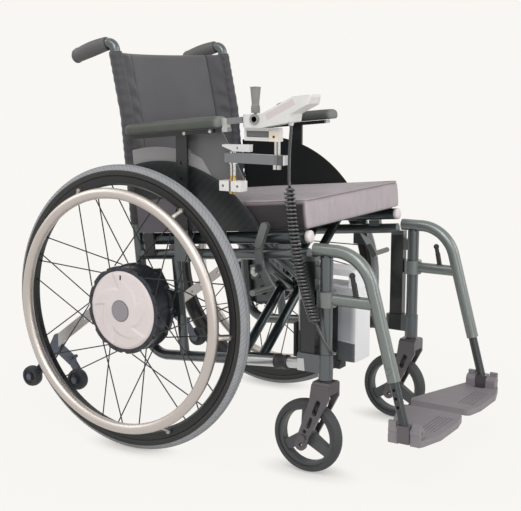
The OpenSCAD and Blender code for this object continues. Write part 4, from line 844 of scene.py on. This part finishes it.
def swell(made, seams):
    """Runs cloth under pressure, held at its seams, and applies it with each point's move capped."""
    start = [v.co.copy() for v in made.data.vertices]
    held = made.vertex_groups.new(name="seams")
    held.add(seams, 1.0, "REPLACE")
    cloth = made.modifiers.new("swell", "CLOTH")
    cloth.settings.vertex_group_mass = "seams"
    cloth.settings.use_pressure = True
    cloth.settings.uniform_pressure_force = SWELL_PRESSURE
    cloth.settings.effector_weights.gravity = 0
    cloth.settings.quality = 4
    cloth.settings.mass = 0.4
    cloth.settings.tension_stiffness = 25
    cloth.settings.compression_stiffness = 25
    cloth.settings.bending_stiffness = 2
    scene = bpy.context.scene
    for number in range(1, SWELL_FRAMES + 1):
        scene.frame_set(number)
    result = bpy.data.meshes.new_from_object(made.evaluated_get(bpy.context.evaluated_depsgraph_get()))
    moved = [v.co.copy() for v in result.vertices]
    bpy.data.meshes.remove(result)
    made.modifiers.remove(cloth)
    made.vertex_groups.remove(held)
    scene.frame_set(1)
    for v, a, b in zip(made.data.vertices, start, moved):
        step = b - a
        v.co = a + (step * (SWELL_CAP / step.length) if step.length > SWELL_CAP else step)


CUSHION_X = 203.0
CUSHION_LOW = 151.0
CUSHION_HIGH = 206.0
CUSHION_CROWN = 215.5
CUSHION_HALF_X = 198.5
CUSHION_HALF_Y = 203.5
CUSHION_LIMIT_X = 201.0
CUSHION_LIMIT_Y = 205.5
CUSHION_STEP = 9.0


def cushion_finish():
    """Smooth mauve-grey cloth on top and front, with a dark boxing round the sides and back, and painted
    sheen and shade: darker streaks and clouds, a darker top and lighter streaks on the boxing.
    """
    f = Finish("cushion_cloth", "#b0a6aa", 0.72, 0.0, sheen_weight=0.25, sheen_roughness=0.4)
    boxing = f.add("ShaderNodeAttribute", {"attribute_name": "boxing"}, {}, "Fac")
    top = f.add("ShaderNodeAttribute", {"attribute_name": "top"}, {}, "Fac")
    u, v = f.axis("X"), f.axis("Y")
    weave = (u.wave(5200.0) * v.wave(5200.0)).step(-0.6, 0.6)
    cloud = f.noise(9.0, 4.0)
    sheen_streak = f.noise(26.0, 3.0, (0.25, 3.0, 1.0)).step(0.35, 0.75)
    # Painted sheen and shade: darker wrinkle streaks and clouds, the top darker in clouds, and lighter sheen
    # streaks on the boxing
    f.coat((sheen_streak * 0.35 + cloud.step(0.4, 0.7) * 0.2, "#958c91"), (top * (cloud * 0.5 + 0.25), "#8b8186"),
           (boxing, "#231f21"), (boxing * sheen_streak * 0.25, "#403b3e"))
    f.put("Roughness", weave * 0.12 + 0.62)
    f.bump(weave * 0.25 + sheen_streak, 0.22, 0.0012)
    return f


def cushion_point(x, y, z):
    """A swollen point of the cushion with its crown, its creases and the limits of its cover."""
    reach = max(abs(x) / CUSHION_LIMIT_X, abs(y) / 205)
    if z > 185:
        z += 4.0 * max(0.0, 1 - reach ** 3)
        z += 0.8 * math.sin(y / 17.0 + 0.6 * math.sin(x / 60.0)) * (0.25 + 0.75 * reach ** 4)
    wall = max(0.0, 1 - abs(z - 180) / 34)
    if x > 150:
        x += 1.2 * math.sin(y / 6.0 + math.sin(y / 21.0)) * wall
    if abs(y) > 150:
        y += math.copysign(1.6 * math.sin((x + 1.3 * z) / 8.0 + 1.2 * math.sin(x / 37.0)) * wall, y)
    x = max(-CUSHION_LIMIT_X, min(CUSHION_LIMIT_X, x))
    y = max(-CUSHION_LIMIT_Y, min(CUSHION_LIMIT_Y, y))
    return x, y, max(CUSHION_LOW, min(CUSHION_CROWN, z))


def cushion_walls(p):
    """Which of the flat cushion's walls a point lies on: rear, side, top, bottom, front."""
    return (p.x < 0.5 - CUSHION_HALF_X, abs(p.y) > CUSHION_HALF_Y - 0.5, p.z > CUSHION_HIGH - 0.5,
            p.z < CUSHION_LOW + 0.5, p.x > CUSHION_HALF_X - 0.5)


def make_cushion(finish):
    """The cushion, swollen between its seams, with its boxing and its top marked for its finish."""
    points, faces = box_shell(CUSHION_HALF_X, CUSHION_HALF_Y, CUSHION_LOW, CUSHION_HIGH, CUSHION_STEP)
    made = piece("seat_cushion_cloth", [Vector(p) / 1000 for p in points], faces, finish)
    walls = [cushion_walls(v.co * 1000) for v in made.data.vertices]
    swell(made, [i for i, on in enumerate(walls) if sum(on) > 1])
    boxing = made.data.attributes.new("boxing", "FLOAT", "POINT").data
    top = made.data.attributes.new("top", "FLOAT", "POINT").data
    for i, v in enumerate(made.data.vertices):
        rear, side, high, _, front = walls[i]
        boxing[i].value = 1.0 if (rear or side) and not high and not front else 0.0
        top[i].value = 1.0 if high else 0.0
        x, y, z = cushion_point(*(v.co * 1000))
        v.co = slope(x + CUSHION_X, y, z)
    smooth = made.modifiers.new("smooth", "SUBSURF")
    smooth.levels = smooth.render_levels = 1
    return made


def seat_blend(made):
    """Bakes a soft seat piece's placement into its mesh."""
    slope(200, -SEAT_TUBE_Y, 150)
    slope(200, SEAT_TUBE_Y, 150)
    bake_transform(made)


cushion = make_cushion(cushion_finish())
seat_blend(cushion)
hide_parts("seat_cushion")


# Piping round the cushion's top edge
def edge_loop(half_x, half_y, radius, steps):
    """A rectangle with round corners, as (x, y)."""
    pts = []
    for cx, cy, start in ((1, 1, 0), (-1, 1, 90), (-1, -1, 180), (1, -1, 270)):
        for i in range(steps):
            a = math.radians(start + 90 * i / (steps - 1))
            x = cx * (half_x - radius) + radius * math.cos(a)
            y = cy * (half_y - radius) + radius * math.sin(a)
            pts.append((x, y))
    return pts


def long_loop(points, step):
    """The same loop with extra points on its long sides."""
    made = []
    for a, b in zip(points, points[1:] + points[:1]):
        a, b = Vector(a), Vector(b)
        n = max(1, round((b - a).length / step))
        made += [a + (b - a) * (i / n) for i in range(n)]
    return made


PIPING_D = 3.4
piping_cloth = moulded("piping_cloth", "#a89ea3", 0.75, 400.0, 0.2)
outline = edge_loop(CUSHION_HALF_X, 203.0, 12.0, 7)
loop = [slope(x + CUSHION_X, y, CUSHION_HIGH + 1) for x, y in long_loop(outline, 12.0)]
rings = tube_rings(loop + loop[:2], PIPING_D / 2000, 8)[1:-1]
piping = piece("cushion_piping", *skin(rings, along=True), piping_cloth)
seat_blend(piping)


# Seat sling under the cushion
def nylon(name, color, rough=0.6):
    """Dense woven nylon."""
    f = Finish(name, color, rough, 0.0, sheen_weight=0.15, sheen_roughness=0.5)
    x, y, z = f.axis("X"), f.axis("Y"), f.axis("Z")
    weave = (y.wave(3600.0) * (z + x).wave(3600.0)).step(-0.5, 0.5)
    cloud = f.noise(11.0, 4.0)
    f.mottle(weave * 0.25 + cloud.step(0.4, 0.7) * 0.35, 1.5)
    f.put("Roughness", weave * 0.1 + (rough - 0.05))
    f.bump(weave + cloud * 2.0, 0.2, 0.0008)
    return f


SLING_X = [4, 100, 200, 300, 388]
SLING_LOW = 148.0
SLING_HIGH = 150.0
SLING_STEPS = 24
section = [(x, SLING_LOW) for x in SLING_X] + [(x, SLING_HIGH) for x in reversed(SLING_X)]
rings = [[slope(x, SEAT_TUBE_Y * (2 * i / SLING_STEPS - 1), z) for x, z in section]
         for i in range(SLING_STEPS + 1)]
sling = piece("seat_sling_cloth", *skin(rings), nylon("sling_nylon", "#2a2b2d"), None, False)
seat_blend(sling)
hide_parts("seat_sling")


# Back upholstery: a slung panel between sleeves sewn round the canes
BACK_LOW = 168.0
BACK_HIGH = 533.0
CANE_X = -22.0
CANE_KNEE = 400.0
CANE_LEAN = math.radians(6.5)
BACK_SEAM = 140.0
PANEL_HALF = 187.6
SAG = 31.0
SAG_R = 660.0
PANEL_ROWS = 90
PANEL_COLUMNS = 150
SLEEVE_ROWS = 96
SLEEVE_BORE_R = 11.4


def back_finish():
    """Dark nylon, darker beyond a stitched seam down each side of the panel."""
    f = nylon("back_nylon", "#47464a", 0.58)
    out = f.axis("Y").size()
    seam = (out - BACK_SEAM / 1000).size()
    f.coat((out.over(BACK_SEAM / 1000) * 0.75, "#353438"), (1 - seam.step(0.0010, 0.0024), "#1d1c1e"))
    return f


def cane_x(z):
    """How far ahead of the rear axle the canes' middle is, which lean back above their knee."""
    return CANE_X - max(0.0, z - CANE_KNEE) * math.tan(CANE_LEAN)


def panel_front(y, z):
    """How far the panel's front skin stands ahead of its rear: flat between the seams, full beside them."""
    full = max(0.0, abs(y) - BACK_SEAM) / (PANEL_HALF - BACK_SEAM)
    puff = math.sin(math.pi * min(1.0, full))
    crease = math.sin(z / 8.0 + 1.9 * math.sin(z / 33.0) + y / 24.0)
    ripple = 0.5 * math.sin(z / 21.0 + y / 40.0) * (y / BACK_SEAM) ** 2 if abs(y) < BACK_SEAM else 0.0
    groove = 2.6 * math.exp(-((abs(y) - BACK_SEAM) / 2.4) ** 2)
    return 8.0 + puff * (4.5 + 2.2 * crease) + ripple - groove


back_nylon = back_finish()
rows = [BACK_LOW + 2 + (BACK_HIGH - BACK_LOW - 4) * i / PANEL_ROWS for i in range(PANEL_ROWS + 1)]
rings = []
for i in range(PANEL_COLUMNS + 1):
    y = PANEL_HALF * (2 * i / PANEL_COLUMNS - 1)
    rear = SAG_R - SAG - math.sqrt(SAG_R ** 2 - y ** 2) + 0.5
    ends = [min(1.0, 0.35 + (z - rows[0]) / 9, 0.35 + (rows[-1] - z) / 9) for z in rows]
    front = [slope(cane_x(z) + rear + panel_front(y, z) * end, y, z) for z, end in zip(rows, ends)]
    rings.append(front + [slope(cane_x(z) + rear, y, z) for z in reversed(rows)])
back = piece("back_panel", *skin(rings), back_nylon, "right_frame")
slope(CANE_X, -PANEL_HALF, 350)
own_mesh(back)
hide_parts("back_upholstery")
for side, k in SIDES.items():
    heights = [BACK_LOW + (BACK_HIGH - BACK_LOW) * i / SLEEVE_ROWS for i in range(SLEEVE_ROWS + 1)]
    swells = [14.0 + 0.5 * math.sin(z / 3.2 + 2.0 * math.sin(z / 27.0)) for z in heights]
    layers = list(zip(heights, swells)) + [(z, SLEEVE_BORE_R) for z in (BACK_HIGH, CANE_KNEE, BACK_LOW)]
    rings = [[slope(cane_x(z) + r * math.cos(a), k * FRAME_Y + r * math.sin(a), z) for a in turns(32)]
             for z, r in layers]
    sleeve = piece(side + "_back_sleeve", *skin(rings, along=True), back_nylon, side + "_frame")


# Armrest pads with a rounded top and a soft grained skin
def pad_finish():
    """Grained green-grey skin, with a painted highlight on its front end."""
    f = Finish("pad_skin", "#454843", 0.55, 0.0, coat_weight=0.08, coat_roughness=0.5)
    cell = f.add("ShaderNodeTexVoronoi", {}, {"Vector": f.place, "Scale": 700.0}, "Distance")
    cloud = f.noise(16.0, 4.0)
    along = f.sloped()[0]
    # The front end is painted paler: a painted highlight
    f.coat((cloud.step(0.35, 0.7) * 0.5, "#383b37"), (along.step(0.232, 0.240) * 0.6, "#8b8e8b"))
    f.put("Roughness", cell * 0.2 + 0.45)
    f.bump(cell, 0.22, 0.0006)
    return f


PAD_X = 123.5
PAD_HALF = 118.5
PAD_HALF_Y = 25.0
PAD_CORNER_R = 16.0
PAD_LOW = 356.2
PAD_LEVELS = [(0.0, 5.0), (1.2, 2.2), (3.8, 0.6), (6.5, 0.0), (12.0, 0.0),
              (16.0, 0.6), (19.2, 2.4), (21.6, 5.4), (23.0, 9.5), (23.8, 14.0)]
pad_skin = pad_finish()
for side, k in SIDES.items():
    rings = []
    for h, inset in PAD_LEVELS:
        corner = max(2.0, PAD_CORNER_R - inset * 0.8)
        outline = edge_loop(PAD_HALF - inset, PAD_HALF_Y - inset, corner, 9)
        rings.append([slope(PAD_X + x, k * ARM_Y + y, PAD_LOW + h) for x, y in long_loop(outline, 300.0)])
    pad = piece(side + "_soft_pad", *skin(rings), pad_skin, side + "_armrest")
    smooth = pad.modifiers.new("round", "SUBSURF")
    smooth.levels = smooth.render_levels = 1
    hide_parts(side + "_arm_pad")


# Push grips, lathed with finger rings and drooping towards their tips
GRIP_LEAN = math.radians(7)
GRIP_AHEAD = Vector((math.cos(GRIP_LEAN), 0, math.sin(GRIP_LEAN)))
GRIP_UP = Vector((-math.sin(GRIP_LEAN), 0, math.cos(GRIP_LEAN)))
GRIP_TIP = Vector((-39.55, 0, 554)) - GRIP_AHEAD * 113
GRIP_LENGTH = 95.0
GRIP_DROOP = 7.0
GRIP_ROWS = 64


def grip_point(k, r, a, h):
    """A point on the grip's skin, h along it from its tip."""
    droop = GRIP_DROOP * max(0.0, 1 - h / GRIP_LENGTH) ** 2
    spot = GRIP_TIP + GRIP_AHEAD * h + GRIP_UP * (r * math.cos(a) - droop)
    return slope(spot.x, k * FRAME_Y + r * math.sin(a), spot.z)


grip_rubber = moulded("grip_rubber", "#585858", 0.6, 500.0, 0.2)
for side, k in SIDES.items():
    profile = [(0.5, 0.0), (8.5, 0.3), (12.4, 1.6), (14.8, 4.3), (15.7, 8)]
    for i in range(GRIP_ROWS):
        h = 9 + 78.0 * i / (GRIP_ROWS - 1)
        belly = 14.4 + 1.9 * math.sin(math.pi * (h - 4) / 92)
        profile.append((belly - (0.45 if i % 4 == 3 else 0.0), h))
    profile += [(14.2, 88), (14.8, 89), (14.8, 93), (14.0, 95.5), (11.3, 95.5)]
    rings = [[grip_point(k, r, a, h) for a in turns(40)] for r, h in profile]
    grip = piece(side + "_ringed_grip", *skin(rings), grip_rubber, side + "_frame")
    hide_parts(side + "_push_grip")


# White caps on the seat tubes' front ends
SEAT_TUBE_END = 402.2
SEAT_TUBE_Z = 135.0
CAP_PROFILE = [(0.3, 3.0), (6, 2.8), (10, 2.0), (12.0, 0.6), (12.4, -0.6), (12.4, -7.5), (11.9, -7.5)]
for side, k, body in (("left", 1, "cross_a"), ("right", -1, "cross_b")):
    rings = [[slope(SEAT_TUBE_END + h, k * SEAT_TUBE_Y + r * math.cos(a), SEAT_TUBE_Z + r * math.sin(a))
              for a in turns(32)] for r, h in CAP_PROFILE]
    cap = piece(side + "_tube_cap", *skin(rings), cap_white, body)


# Floor, lights and background
BACKDROP = tone("#f9f7f3")
SEEN_RAYS = ("Is Camera Ray", "Is Glossy Ray", "Is Transmission Ray")


def floor_finish():
    """Pale floor that takes a shadow close to each wheel and is as bright as the background elsewhere."""
    f = Finish("floor_pale", "#f4f4f1", 0.9)
    rays = [f.add("ShaderNodeLightPath", {}, {}, ray) for ray in SEEN_RAYS]
    seen = rays[0].math("MINIMUM", rays[0] + rays[1] + rays[2], 1.0)
    glow = f.add("ShaderNodeEmission", {}, {"Color": BACKDROP, "Strength": 1.0}, "Emission")
    away = f.from_spot((0, 0, 0), (1, 1, 0)).step(0.45, 1.1) * 0.05 + 0.53
    for x, y in ((0, -WHEEL_Y), (0, WHEEL_Y), (CASTER_X, -FRAME_Y), (CASTER_X, FRAME_Y)):
        away = away * f.from_spot(place(x, y, 0), (1, 2, 0)).step(0.02, 0.13)
    share = seen * (away + 0.42)
    mixed = f.add("ShaderNodeMixShader", {}, {0: share, 1: Value(f, f.shader.outputs[0]), 2: glow})
    output = next(n for n in f.tree.nodes if n.type == "OUTPUT_MATERIAL")
    f.plug(output.inputs["Surface"], mixed)
    return f


floor_mesh = bpy.data.meshes.new("floor")
floor_mesh.from_pydata([(-30, -30, 0), (30, -30, 0), (30, 30, 0), (-30, 30, 0)], [], [(0, 1, 2, 3)])
floor_mesh.materials.append(floor_finish().material)
put_in_scene("floor", floor_mesh)


def soft_light(name, spot, aim, wide, high, power):
    light = bpy.data.lights.new(name, "AREA")
    light.shape = "RECTANGLE"
    light.size = wide
    light.size_y = high
    light.energy = power
    made = bpy.data.objects.new(name, light)
    made.location = spot
    made.rotation_euler = (Vector(aim) - Vector(spot)).to_track_quat("-Z", "Y").to_euler()
    bpy.context.scene.collection.objects.link(made)


soft_light("key", (1.6, -3.0, 3.0), (0, 0, 0.4), 2.2, 2.2, 56)
soft_light("fill", (3.2, 1.4, 1.8), (0, 0, 0.4), 2.0, 2.0, 34)
soft_light("rim", (-3.0, -1.2, 2.4), (0, 0, 0.5), 1.8, 1.8, 26)
soft_light("strip", (2.6, -1.5, 1.3), (0.2, 0, 0.4), 0.25, 2.4, 14)
soft_light("top_strip", (0.2, -1.4, 2.6), (0.2, 0, 0.3), 2.6, 0.25, 14)


def studio_world():
    """Even white light, and the plain background where it is seen or mirrored."""
    world = bpy.data.worlds.new("studio")
    world.use_nodes = True
    make, link = world.node_tree.nodes.new, world.node_tree.links.new
    lit = world.node_tree.nodes["Background"]
    lit.inputs["Color"].default_value = (1, 1, 1, 1)
    lit.inputs["Strength"].default_value = 0.36
    seen = make("ShaderNodeBackground")
    seen.inputs["Color"].default_value = BACKDROP
    seen.inputs["Strength"].default_value = 1.0
    ray = make("ShaderNodeLightPath")
    camera_ray, glossy_ray, through_ray = (ray.outputs[name] for name in SEEN_RAYS)
    either = make("ShaderNodeMath")
    either.operation = "ADD"
    link(camera_ray, either.inputs[0])
    link(glossy_ray, either.inputs[1])
    total = make("ShaderNodeMath")
    total.operation = "ADD"
    total.use_clamp = True
    link(either.outputs[0], total.inputs[0])
    link(through_ray, total.inputs[1])
    pick = make("ShaderNodeMixShader")
    link(total.outputs[0], pick.inputs[0])
    link(lit.outputs[0], pick.inputs[1])
    link(seen.outputs[0], pick.inputs[2])
    link(pick.outputs[0], world.node_tree.nodes["World Output"].inputs["Surface"])
    bpy.context.scene.world = world


studio_world()
